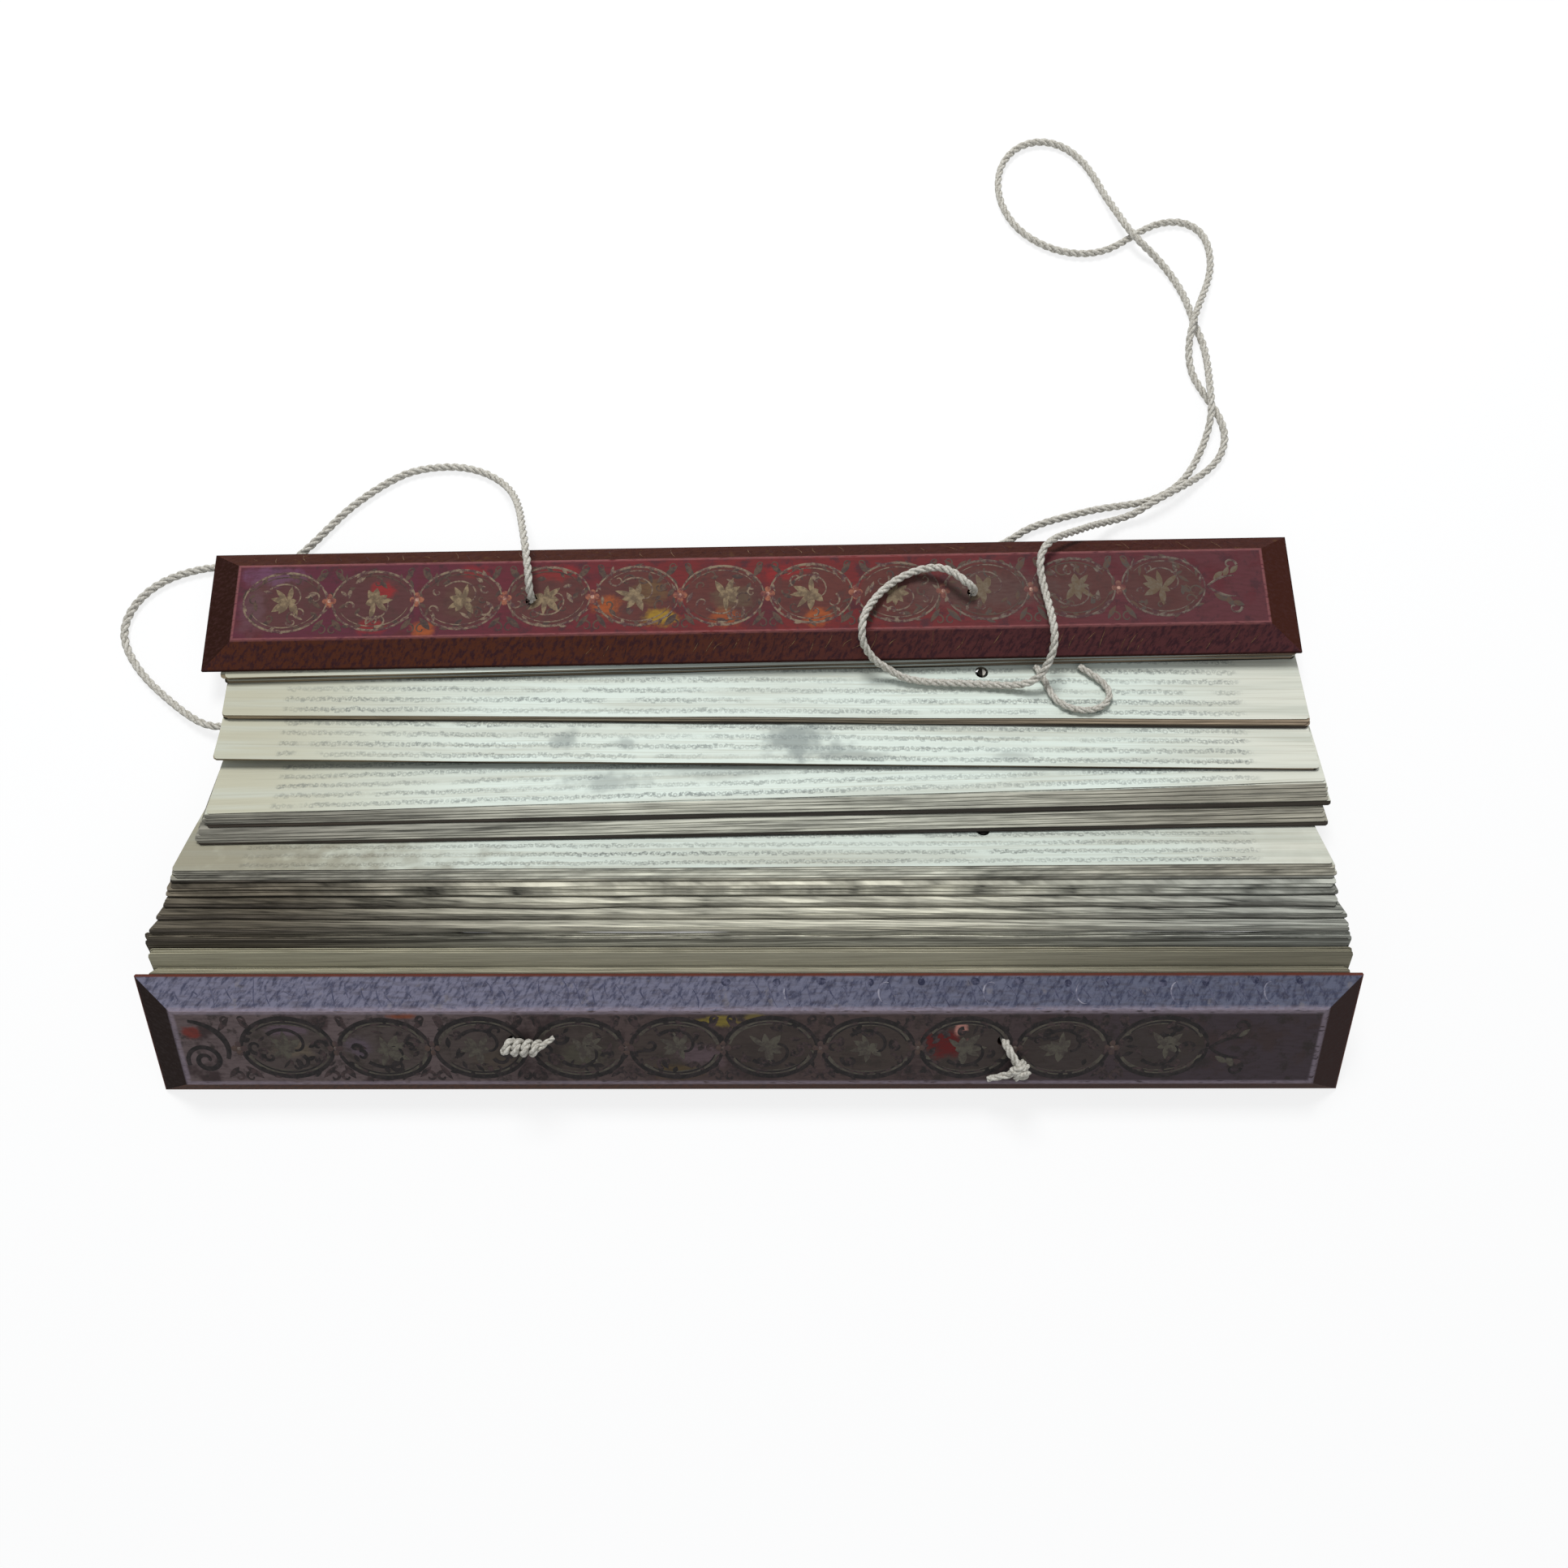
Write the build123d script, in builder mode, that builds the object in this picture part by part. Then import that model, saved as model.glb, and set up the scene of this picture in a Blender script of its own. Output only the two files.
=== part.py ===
"""A palm-leaf book spread open on a table.

Long strips of palm leaf are strung on two cords between a pair of bevelled boards. The bottom board
leans back at the reader's side, and the leaves fall away behind it in sheaves, like shingles, as far
as the top board. +X runs along the leaves, +Y away from the reader, and the table is Z = 0.
"""

import os
from collections import namedtuple
from math import asin, cos, degrees, pi, radians, sin, tan

from build123d import *

os.makedirs("parts", exist_ok=True)

# Boards
board_length = 400.0
board_width = 46.5
board_thickness = 8.7
board_rim = 1.0  # square edge below the bevel
side_bevel = 8.7
end_bevel = 13.3
board_hole = 4.8
hole_spacing = 160.0  # between the two cord holes, in boards and leaves alike
top_hole_inset = 22.2  # of a board's holes, from the long edge that the leaves lie against
bottom_hole_inset = 20.4
top_hole_shift = 0.9  # of the two holes along a board, from its middle
bottom_hole_shift = 3.8

# Leaves
leaf_end_margin = 3.0  # from a leaf's end to the board's
leaf_length = board_length - 2 * leaf_end_margin
leaf_width = 41.0
leaf_hole = 4.8
leaf_hole_inset = 21.5  # from the visible edge of a leaf that has been turned over
packet = 0.8  # a few leaves that lie flush and show as one ridge
ragged = 0.5  # how far a ridge stands back from its neighbours
rest_gap = 0.3  # air between pieces that rest on each other

# Cords
cord = 2.9
left_knot_length = 14.5
left_knot_width = 6.4
left_knot_shift = 2.9  # the knot's middle, from the hole
right_knot_width = 7.6
tail_width = 3.0
right_knot_drop = (5.2, -8.5)  # the knot and its tails' ends, from the hole, on the board's outer face
left_tail_drop = (-5.1, -14.2)
right_tail_drop = (4.3, -14.2)

# How the book lies
bottom_lean = 38.6  # degrees above the table
bottom_turn = -0.9  # degrees in plan
bottom_shift = -2.5  # along X
top_near_edge = 149.7  # from the bottom board's low edge to the top board's near edge
top_slope = 3.0  # degrees, falling away from the reader

# Sheaves that lean back behind the bottom board, front to back. The dip is measured from +Y down to the
# direction that runs from a sheaf's visible edge to its hidden edge.
Leaning = namedtuple("Leaning", "name dip thickness shift")
leaning_sheaves = [
    Leaning("leaning_leaves_1", 137.5, 2.4, -1.7),
    Leaning("leaning_leaves_2", 132.0, 2.4, -1.2),
    Leaning("leaning_leaves_3", 127.0, 2.0, -1.8),
]

# Sheaves that fall away behind the crest, front to back. Pairs are for the left and the right end: the
# thickness, the step from the visible edge of the sheaf below, and any lift off that sheaf. A slid sheaf
# has let its leaves slip until every hidden edge meets the table. Splay is how far a sheaf springs up.
Falling = namedtuple("Falling", "name thickness step lift splay slid shift")
falling_sheaves = [
    Falling("crest_leaves_1", (0.9, 0.9), (0.4, 0.4), (0.0, 0.0), 0.0, True, -1.5),
    Falling("crest_leaves_2", (0.9, 0.9), (4.5, 4.5), (0.0, 0.0), 0.0, True, -1.0),
    Falling("crest_leaves_3", (0.9, 0.9), (3.0, 3.0), (0.0, 0.0), 0.0, True, -1.6),
    Falling("middle_leaves_1", (2.4, 2.6), (3.0, 3.5), (0.0, 0.0), 0.0, True, -0.5),
    Falling("middle_leaves_2", (2.4, 2.8), (2.0, 2.5), (0.0, 0.0), 0.0, True, -0.1),
    Falling("middle_leaves_3", (1.6, 2.4), (11.9, 17.8), (0.0, 0.0), 0.0, True, 3.6),
    Falling("middle_leaves_4", (1.8, 2.8), (3.1, 0.4), (0.0, 0.0), 0.0, True, 5.4),
    Falling("open_leaves_1", (1.2, 1.2), (21.7, 4.8), (3.0, 0.0), 0.0, False, 4.2),
    Falling("open_leaves_2", (1.8, 2.0), (16.4, 16.8), (0.0, 0.0), 0.0, False, 4.1),
    Falling("rear_leaves_1", (1.2, 1.6), (13.5, 27.9), (0.0, 0.0), 0.0, False, 3.4),
    Falling("rear_leaves_2", (1.5, 1.5), (0.6, 0.4), (0.0, 0.0), 3.0, False, 3.0),
]

# One end of a sheaf in section: the visible edge of its lowest leaf, its dip, its thickness and how far
# its uppermost leaf has slid down from that edge.
End = namedtuple("End", "edge dip thickness slide")


def down(dip):
    """Direction from a sheaf's visible edge to its hidden edge, as (y, z)."""
    return Vector(cos(radians(dip)), -sin(radians(dip)))


def out(dip):
    """Direction through a sheaf, from its lowest leaf to its uppermost, as (y, z)."""
    return Vector(sin(radians(dip)), cos(radians(dip)))


def upper_edge(end):
    """Visible edge of a sheaf's uppermost leaf."""
    return end.edge + out(end.dip) * end.thickness + down(end.dip) * end.slide


def lay_leaning(sheaf, rest):
    """A leaning sheaf's section: its front touches rest, and its rear hidden corner stands on the table."""
    edge_height = leaf_width * sin(radians(sheaf.dip)) - sheaf.thickness * cos(radians(sheaf.dip))
    contact = rest + out(sheaf.dip) * rest_gap
    rise = (edge_height - contact.Y) / sin(radians(sheaf.dip))
    return End(contact - down(sheaf.dip) * rise, sheaf.dip, sheaf.thickness, 0.0)


def lay_falling(sheaf, side, below):
    """A falling sheaf's section: its edge rests on the sheaf below, and it dips to the table if it can."""
    thickness, step, lift = sheaf.thickness[side], sheaf.step[side], sheaf.lift[side]
    dip_below = min(below.dip, 180.0 - below.dip)
    edge = upper_edge(below)
    if below.dip > 90.0:
        edge += Vector(rest_gap, 0.0)
    else:
        edge += down(below.dip) * step + out(below.dip) * (rest_gap + lift)
    dip = min(degrees(asin(edge.Y / leaf_width)), dip_below) - sheaf.splay
    slide = thickness / tan(radians(dip)) if sheaf.slid else 0.0
    return End(edge, dip, thickness, slide)


def lay_out(side):
    """Sections of all the sheaves at one end of the book, front to back."""
    along = (side - 0.5) * leaf_length - bottom_shift
    lean = radians(bottom_lean)
    rest = Vector(board_width * cos(lean) + along * tan(radians(bottom_turn)), board_width * sin(lean))
    ends = []
    for sheaf in leaning_sheaves:
        ends.append(lay_leaning(sheaf, rest))
        rest = upper_edge(ends[-1])
    for sheaf in falling_sheaves:
        ends.append(lay_falling(sheaf, side, ends[-1]))
    return ends


left_ends, right_ends = lay_out(0), lay_out(1)
sheaves = leaning_sheaves + falling_sheaves

# The top board lies on the uppermost sheaf
slope = radians(top_slope)
top_rest = max(
    upper_edge(end).Y - (top_near_edge - upper_edge(end).X) * tan(radians(end.dip))
    for end in (left_ends[-1], right_ends[-1])
)
top_height = top_rest + rest_gap

# The origin is under the middle of the boards and leaves, on the table
turn = radians(bottom_turn)
lean = radians(bottom_lean)
bottom_reach = board_length / 2 * cos(turn)
reaches = [(sheaf.shift - leaf_length / 2, sheaf.shift + leaf_length / 2) for sheaf in sheaves]
reaches += [(bottom_shift - bottom_reach, bottom_shift + bottom_reach), (-board_length / 2, board_length / 2)]
bottom_front = board_length / 2 * sin(turn) - board_rim * sin(lean) * cos(turn)
top_back = top_near_edge + board_width * cos(slope) + board_rim * sin(slope)
centre = Vector(
    (min(low for low, high in reaches) + max(high for low, high in reaches)) / 2,
    (bottom_front + top_back) / 2,
)

bottom_plane = Plane(
    origin=Vector(bottom_shift, 0) - centre,
    x_dir=(cos(turn), sin(turn), 0),
    z_dir=(sin(turn) * sin(lean), -cos(turn) * sin(lean), cos(lean)),
)
top_plane = Plane(
    origin=Vector(0, top_near_edge, top_height) - centre,
    x_dir=(1, 0, 0),
    z_dir=(0, sin(slope), cos(slope)),
)

# The holes, from the upper edge of the bottom board, the near edge of the top board and the visible edges of
# the leaves that have been turned over
hole_places = [-hole_spacing / 2, hole_spacing / 2]
bottom_holes = [Vector(place + bottom_hole_shift, board_width - bottom_hole_inset) for place in hole_places]
top_holes = [Vector(place + top_hole_shift, top_hole_inset) for place in hole_places]
turned_sheaves = [sheaf for sheaf in falling_sheaves if not sheaf.slid]


def cover_board(name, inner_face, holes):
    """A board with a bevel all round its outer face, built up from its inner face."""
    middle = (0, board_width / 2)
    with BuildPart() as board:
        with BuildSketch(inner_face):
            with Locations(middle):
                Rectangle(board_length, board_width)
        extrude(amount=board_rim)
        with BuildSketch(inner_face.offset(board_rim)):
            with Locations(middle):
                Rectangle(board_length, board_width)
        with BuildSketch(inner_face.offset(board_thickness)):
            with Locations(middle):
                Rectangle(board_length - 2 * end_bevel, board_width - 2 * side_bevel)
        loft(ruled=True)
        with BuildSketch(inner_face):
            with Locations(holes):
                Circle(board_hole / 2)
        extrude(amount=board_thickness, mode=Mode.SUBTRACT)
    board.part.label = name
    export_step(board.part, f"parts/{name}.step")


cover_board("bottom_board", bottom_plane, bottom_holes)
cover_board("top_board", top_plane, top_holes)


def section_points(end, ridges):
    """Outline of a sheaf's section: plain faces, and one ridge for each packet along the visible edge."""

    def at(inward, through):
        return end.edge + down(end.dip) * inward + out(end.dip) * through - Vector(centre.Y, 0)

    outline = [at(leaf_width, 0)]
    for ridge in range(ridges):
        set_back = end.slide * ridge / (ridges - 1) + ragged * (ridge * 2 % 3) / 2
        outline.append(at(set_back, end.thickness * ridge / ridges))
        outline.append(at(set_back, end.thickness * (ridge + 1) / ridges))
    outline.append(at(leaf_width + end.slide, end.thickness))
    return outline


def hole_plane(sheaf, left, right, place):
    """Middle of a sheaf's hole, square to its leaves, at a place along the leaves from their middle."""
    inset = leaf_hole_inset if sheaf in turned_sheaves else leaf_width - leaf_hole_inset
    share = place / leaf_length + 0.5
    dip = left.dip + (right.dip - left.dip) * share
    edge = left.edge + (right.edge - left.edge) * share
    slide = left.slide + (right.slide - left.slide) * share
    thickness = left.thickness + (right.thickness - left.thickness) * share
    middle = edge + down(dip) * (inset + slide / 2) + out(dip) * thickness / 2
    origin = Vector(sheaf.shift + place, middle.X, middle.Y) - centre
    return Plane(origin, x_dir=(1, 0, 0), z_dir=(0, out(dip).X, out(dip).Y)), thickness


bores = {place: [] for place in hole_places}
for sheaf, left, right in zip(sheaves, left_ends, right_ends):
    ridges = max(2, round((left.thickness + right.thickness) / 2 / packet))
    with BuildPart() as leaves:
        for end, place in ((left, -leaf_length / 2), (right, leaf_length / 2)):
            with BuildSketch(Plane.YZ.offset(sheaf.shift + place - centre.X)):
                with BuildLine():
                    Polyline(*section_points(end, ridges), close=True)
                make_face()
        loft(ruled=True)
        for place in hole_places:
            bore, depth = hole_plane(sheaf, left, right, place)
            bores[place].append((bore, depth))
            with BuildSketch(bore):
                Circle(leaf_hole / 2)
            extrude(amount=depth, both=True, mode=Mode.SUBTRACT)
    leaves.part.label = sheaf.name
    export_step(leaves.part, f"parts/{sheaf.name}.step")

# The cords inside the bores of the leaves
for name, place in zip(("left_cord_inner", "right_cord_inner"), hole_places):
    with BuildPart() as inner:
        for bore, depth in bores[place]:
            with BuildSketch(bore):
                Circle(cord / 2)
            extrude(amount=depth / 2, both=True)
    inner.part.label = name
    export_step(inner.part, f"parts/{name}.step")


def cord_tube(name, route):
    """A free cord: straight runs joined by the widest tangent arcs that they leave room for."""
    points = [Vector(*point) for point in route]
    radii = []
    for before, corner, after in zip(points, points[1:], points[2:]):
        run_in, run_out = corner - before, after - corner
        half_turn = radians(run_in.get_angle(run_out)) / 2
        radii.append(0.45 * min(run_in.length, run_out.length) / tan(half_turn))
    with BuildPart() as tube:
        with BuildLine() as line:
            FilletPolyline(*points, radius=radii)
        with BuildSketch(Plane(line.line @ 0, z_dir=line.line % 0)):
            Circle(cord / 2)
        sweep(path=line.line)
    tube.part.label = name
    export_step(tube.part, f"parts/{name}.step")
    length = sum(edge.length for edge in line.edges())
    filled = tube.part.volume / (length * pi * cord**2 / 4)
    print(name, "length", round(length), "volume over section x length", round(filled, 3))
    print(name, "radii", [round(radius, 1) for radius in radii])


# The left cord rises from the top board, falls behind it in an arc, passes under the board's far edge
# and goes round the book's left end to be tucked between two sheaves.
left_route = [
    (-79.1, 76.0, 15.2), (-79.1, 76.1, 18.0), (-79.1, 77.2, 21.5), (-79.1, 79.8, 24.0),
    (-79.2, 84.1, 25.2), (-80.1, 90.3, 24.8), (-81.5, 97.5, 22.8), (-83.5, 105.7, 19.2),
    (-85.8, 113.8, 13.8), (-88.8, 121.5, 8.2), (-92.6, 128.0, 4.0), (-97.5, 132.9, 2.0),
    (-103.9, 136.5, 1.6), (-112.2, 138.7, 1.6), (-122.2, 138.7, 1.6), (-131.9, 136.9, 1.6),
    (-140.0, 132.7, 1.6), (-147.6, 127.3, 1.6), (-154.7, 121.4, 1.6), (-161.3, 114.1, 1.6),
    (-167.4, 107.1, 1.6), (-173.8, 100.8, 1.6), (-182.6, 97.9, 1.6), (-193.0, 98.3, 1.6),
    (-204.0, 98.6, 1.6), (-213.4, 96.8, 1.6), (-221.7, 93.7, 1.6), (-228.3, 89.0, 1.6),
    (-233.1, 82.9, 1.6), (-235.6, 75.4, 1.6), (-234.5, 68.0, 1.6), (-230.0, 60.2, 1.6),
    (-224.0, 53.2, 1.8), (-216.1, 46.2, 2.2), (-207.9, 39.8, 2.8), (-200.6, 35.5, 3.6),
    (-193.6, 34.3, 4.2), (-186.0, 34.3, 4.3),
]
cord_tube("left_cord", left_route)

# The right cord loops forward over the board onto a leaf and back over the board, runs out across the
# table, turns in a bight and comes back beside itself to end under the board's far edge.
right_route = [
    (80.9, 76.0, 14.8), (80.9, 76.1, 17.6), (80.6, 76.1, 20.8), (79.0, 76.5, 23.4), (76.7, 77.8, 24.6),
    (74.4, 80.0, 24.9), (70.6, 83.1, 23.6), (66.2, 84.7, 21.6), (60.5, 84.3, 20.0), (54.0, 81.7, 19.4),
    (47.9, 77.0, 19.9), (43.2, 71.1, 21.6), (40.5, 66.2, 23.0), (39.7, 62.1, 22.9), (39.6, 58.7, 21.3),
    (40.4, 56.3, 19.2), (42.2, 54.1, 16.6), (45.0, 51.7, 13.9), (49.3, 49.9, 11.4), (54.7, 46.9, 9.5),
    (63.2, 45.3, 9.0), (74.1, 44.8, 9.0), (85.8, 44.0, 9.1), (94.1, 43.1, 9.8), (99.7, 43.3, 11.7),
    (103.2, 44.8, 13.8), (105.5, 47.7, 16.4), (107.1, 51.0, 19.2), (107.8, 54.6, 21.8),
    (107.8, 59.0, 23.2), (107.4, 64.3, 22.9), (106.8, 70.9, 21.0), (105.8, 77.6, 20.0),
    (104.9, 83.0, 20.6), (105.0, 87.3, 21.6), (106.4, 91.3, 21.8), (110.1, 95.0, 21.0),
    (115.6, 98.6, 17.2), (121.6, 101.9, 13.4), (128.7, 106.4, 8.0), (136.1, 109.7, 4.0),
    (142.3, 111.9, 2.6), (147.1, 113.5, 3.6), (151.2, 115.8, 4.9), (156.0, 118.5, 5.1),
    (161.0, 121.2, 5.0), (166.9, 124.6, 3.8), (172.9, 128.7, 2.0), (178.2, 132.8, 1.6),
    (182.5, 137.7, 1.6), (185.1, 144.6, 1.6), (184.6, 152.0, 1.6), (181.4, 159.6, 1.6),
    (177.8, 166.3, 1.6), (174.8, 173.2, 1.6), (174.0, 180.7, 2.2), (174.3, 186.8, 4.0),
    (175.5, 192.2, 5.3), (178.2, 199.6, 5.3), (182.2, 208.1, 3.2), (185.8, 216.3, 1.6),
    (187.4, 223.4, 1.6), (187.2, 232.5, 1.6), (184.1, 239.5, 1.6), (177.1, 243.5, 1.6),
    (168.1, 242.9, 1.6), (160.2, 239.2, 1.6), (152.5, 234.0, 1.6), (144.2, 229.8, 1.6),
    (134.2, 228.8, 1.6), (124.2, 231.2, 1.6), (115.0, 236.6, 1.6), (108.2, 243.9, 1.6),
    (104.1, 253.4, 1.6), (103.2, 263.4, 1.6), (105.8, 273.3, 1.6), (112.6, 280.9, 1.6),
    (122.0, 283.7, 1.6), (131.2, 281.1, 1.6), (138.4, 274.5, 1.6), (143.2, 266.1, 1.6),
    (146.6, 256.9, 2.0), (150.1, 248.0, 3.6), (153.7, 238.2, 5.4), (158.4, 231.1, 5.4),
    (164.7, 226.7, 2.6), (170.0, 219.8, 1.6), (173.8, 212.0, 1.6), (176.2, 204.9, 1.6),
    (178.1, 195.3, 1.6), (180.5, 187.5, 1.6), (181.2, 179.6, 2.0), (180.6, 172.0, 3.8),
    (179.9, 165.4, 5.3), (179.8, 157.9, 5.3), (179.3, 151.9, 3.6), (177.5, 145.6, 1.9),
    (174.8, 139.6, 1.6), (171.3, 133.4, 1.6), (167.0, 127.5, 1.6), (160.6, 122.4, 1.6),
    (152.2, 118.9, 1.6), (143.0, 117.5, 1.6), (132.9, 116.2, 1.6), (122.8, 113.8, 1.6),
    (113.3, 111.3, 1.6), (105.0, 108.2, 1.6), (99.7, 104.5, 1.6), (92.0, 100.7, 1.6),
]
cord_tube("right_cord", right_route)

# Slack drawn out from under the rear leaves lies on the open ones in a small ring
slack_route = [
    (103.6, 51.3, 7.4), (105.2, 48.6, 8.0), (106.5, 45.0, 8.8), (107.7, 41.0, 9.6), (109.5, 37.2, 10.4),
    (113.4, 34.4, 11.0), (117.8, 33.0, 11.3), (122.4, 33.0, 11.3), (126.8, 34.8, 10.9),
    (129.4, 38.3, 10.1), (128.7, 42.3, 9.3), (126.0, 45.6, 8.6), (122.6, 48.6, 7.9), (119.6, 51.0, 7.4),
]
cord_tube("right_slack_loop", slack_route)

# The left stopper knot lies along the bottom board's outer face, beside its hole
left_hole, right_hole = bottom_holes
outer_face = bottom_plane.offset(board_thickness)
knot_middle = outer_face.from_local_coords(left_hole + Vector(left_knot_shift, 0, left_knot_width / 2 + rest_gap))
half_core = Vector(bottom_plane.x_dir) * (left_knot_length - left_knot_width) / 2
with BuildPart() as left_knot:
    with BuildSketch(Plane(knot_middle, z_dir=bottom_plane.x_dir)):
        Circle(left_knot_width / 2)
    extrude(amount=half_core.length, both=True)
    with Locations(knot_middle - half_core, knot_middle + half_core):
        Sphere(left_knot_width / 2)
    with BuildSketch(bottom_plane):
        with Locations(left_hole):
            Circle(cord / 2)
    extrude(amount=board_thickness + left_knot_width / 2)
left_knot.part.label = "left_knot"
export_step(left_knot.part, "parts/left_knot.step")

# The right stopper knot hangs on a short stem, with its two cut tails below it
ball_rest = right_knot_width / 2 + rest_gap
stem_height = cord / 2 + rest_gap
tail_rest = tail_width / 2 + rest_gap
ball = right_hole + Vector(*right_knot_drop, ball_rest)
left_tail = right_hole + Vector(*left_tail_drop, tail_rest)
right_tail = right_hole + Vector(*right_tail_drop, tail_rest)
with BuildPart() as right_knot:
    with BuildSketch(bottom_plane):
        with Locations(right_hole):
            Circle(cord / 2)
    extrude(amount=board_thickness + stem_height)
    with Locations(outer_face.from_local_coords(right_hole + Vector(0, 0, stem_height))):
        Sphere(cord / 2)
    with Locations(outer_face.from_local_coords(ball)):
        Sphere(right_knot_width / 2)
    for start, width, finish in (
        (right_hole + Vector(0, 0, stem_height), cord, ball),
        (left_tail, tail_width, ball),
        (right_tail, tail_width, ball),
    ):
        foot, head = outer_face.from_local_coords(start), outer_face.from_local_coords(finish)
        with BuildSketch(Plane(foot, z_dir=head - foot)):
            Circle(width / 2)
        extrude(amount=(head - foot).length)
right_knot.part.label = "right_knot"
export_step(right_knot.part, "parts/right_knot.step")
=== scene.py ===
"""The look of a palm-leaf book spread open on a table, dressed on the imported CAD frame.

Lengths are in millimetres, and meshes and curves are scaled to metres as they are made. Only the floor, the
lamps, the camera and the cords' stated lengths are given in metres.
"""

import random
from collections import namedtuple
from math import atan2, cos, pi, radians, sin

import bmesh
import bpy
from mathutils import Matrix, Vector, noise


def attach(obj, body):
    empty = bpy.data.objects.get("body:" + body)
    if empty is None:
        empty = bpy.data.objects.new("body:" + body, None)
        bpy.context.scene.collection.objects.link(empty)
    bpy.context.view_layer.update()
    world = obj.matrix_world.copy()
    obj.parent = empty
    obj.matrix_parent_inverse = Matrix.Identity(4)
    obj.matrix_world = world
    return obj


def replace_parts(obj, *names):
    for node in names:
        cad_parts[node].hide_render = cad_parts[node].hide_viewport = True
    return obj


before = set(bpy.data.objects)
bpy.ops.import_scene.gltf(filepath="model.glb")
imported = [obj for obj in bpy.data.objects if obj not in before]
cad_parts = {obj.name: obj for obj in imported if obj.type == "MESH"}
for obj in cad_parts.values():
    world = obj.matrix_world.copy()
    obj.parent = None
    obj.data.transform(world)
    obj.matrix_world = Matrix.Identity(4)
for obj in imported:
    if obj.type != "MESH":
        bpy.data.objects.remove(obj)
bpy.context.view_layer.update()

MM = 0.001
scene = bpy.context.scene

# Values shared with the CAD source
leaf_width = 41.0
leaf_length = 394.0
hole_radius = 2.4
hole_spacing = 160.0
board_width = 46.5
board_length = 400.0
board_thickness = 8.7
board_rim = 1.0
side_bevel = 8.7
end_bevel = 13.3
bottom_hole_inset = 20.4
leaf_hole_inset = 21.5
bottom_hole_shift = 3.8
cord = 2.9
bottom_lean = radians(38.6)
bottom_turn = radians(-0.9)
top_slope = radians(3.0)


def srgb(red, green, blue):
    """A linear colour from 0 to 255 display values."""
    linear = []
    for value in (red, green, blue):
        value /= 255
        linear.append(value / 12.92 if value <= 0.04045 else ((value + 0.055) / 1.055) ** 2.4)
    return (*linear, 1.0)


class Shader:
    """A material's node tree, with short ways to add the nodes used here."""

    def __init__(self, name, roughness, specular):
        self.material = bpy.data.materials.new(name)
        self.material.use_nodes = True
        self.tree = self.material.node_tree
        self.surface = self.tree.nodes["Principled BSDF"]
        self.put(self.surface.inputs["Roughness"], roughness)
        self.put(self.surface.inputs["Specular IOR Level"], specular)

    def put(self, socket, value):
        if isinstance(value, bpy.types.NodeSocket):
            self.tree.links.new(value, socket)
        else:
            socket.default_value = value

    def node(self, kind, inputs=(), **settings):
        node = self.tree.nodes.new(kind)
        for key, value in settings.items():
            setattr(node, key, value)
        for key, value in inputs:
            self.put(node.inputs[key], value)
        return node

    def math(self, operation, a, b=0.0, clamp=False):
        return self.node("ShaderNodeMath", [(0, a), (1, b)], operation=operation, use_clamp=clamp).outputs[0]

    def plus(self, a, b):
        return self.math("ADD", a, b)

    def minus(self, a, b):
        return self.math("SUBTRACT", a, b)

    def times(self, a, b):
        return self.math("MULTIPLY", a, b)

    def over(self, a, b):
        return self.math("DIVIDE", a, b)

    def length(self, a, b):
        return self.math("SQRT", self.plus(self.times(a, a), self.times(b, b)))

    def vector_math(self, operation, *inputs):
        return self.node("ShaderNodeVectorMath", enumerate(inputs), operation=operation).outputs

    def dot(self, vector, direction):
        return self.vector_math("DOT_PRODUCT", vector, direction)[1]

    def combine(self, x, y, z=0.0):
        return self.node("ShaderNodeCombineXYZ", [(0, x), (1, y), (2, z)]).outputs[0]

    def step(self, value, low, high, top=1.0):
        """0 at low, top at high, smooth between; low may be the larger."""
        inputs = [("Value", value), ("From Min", low), ("From Max", high), ("To Max", top)]
        return self.node("ShaderNodeMapRange", inputs, interpolation_type="SMOOTHSTEP").outputs[0]

    def oval(self, x, y, middle, half_sizes):
        """0 in the middle of an oval, 1 on its outline."""
        shares = [self.over(self.minus(value, centre), half)
                  for value, centre, half in zip((x, y), middle, half_sizes)]
        return self.length(*shares)

    def mix(self, factor, a, b, blend="MIX"):
        node = self.node("ShaderNodeMix", [(0, factor), (6, a), (7, b)], data_type="RGBA", blend_type=blend)
        return node.outputs[2]

    def patched(self, colour, patches, x, y, ragged, core):
        """A colour with oval patches; ragged breaks their outlines, and core is where they are deepest."""
        for patch in patches:
            reach = self.oval(x, y, (patch.x, patch.y), (patch.half_length, patch.half_width))
            depth = self.step(self.plus(reach, ragged), 1.1, core, patch.depth)
            colour = self.mix(depth, colour, patch.colour)
        return colour

    def noise(self, vector, scale, detail=2.0, roughness=0.5):
        inputs = [("Vector", vector), ("Scale", scale), ("Detail", detail), ("Roughness", roughness)]
        return self.node("ShaderNodeTexNoise", inputs).outputs[0]

    def place(self):
        """Object coordinates in millimetres, as a vector and its three parts."""
        coordinates = self.node("ShaderNodeTexCoord").outputs["Object"]
        per_mm = (1 / MM, 1 / MM, 1 / MM)
        scaled = self.vector_math("MULTIPLY", coordinates, per_mm)[0]
        return scaled, self.node("ShaderNodeSeparateXYZ", [(0, scaled)]).outputs

    def attribute(self, name):
        return self.node("ShaderNodeAttribute", attribute_name=name).outputs["Fac"]

    def bump(self, height, strength, distance):
        inputs = [("Height", height), ("Strength", strength), ("Distance", distance * MM)]
        self.put(self.surface.inputs["Normal"], self.node("ShaderNodeBump", inputs).outputs[0])

    def finish(self, colour):
        self.put(self.surface.inputs["Base Color"], colour)
        return self.material


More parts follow.
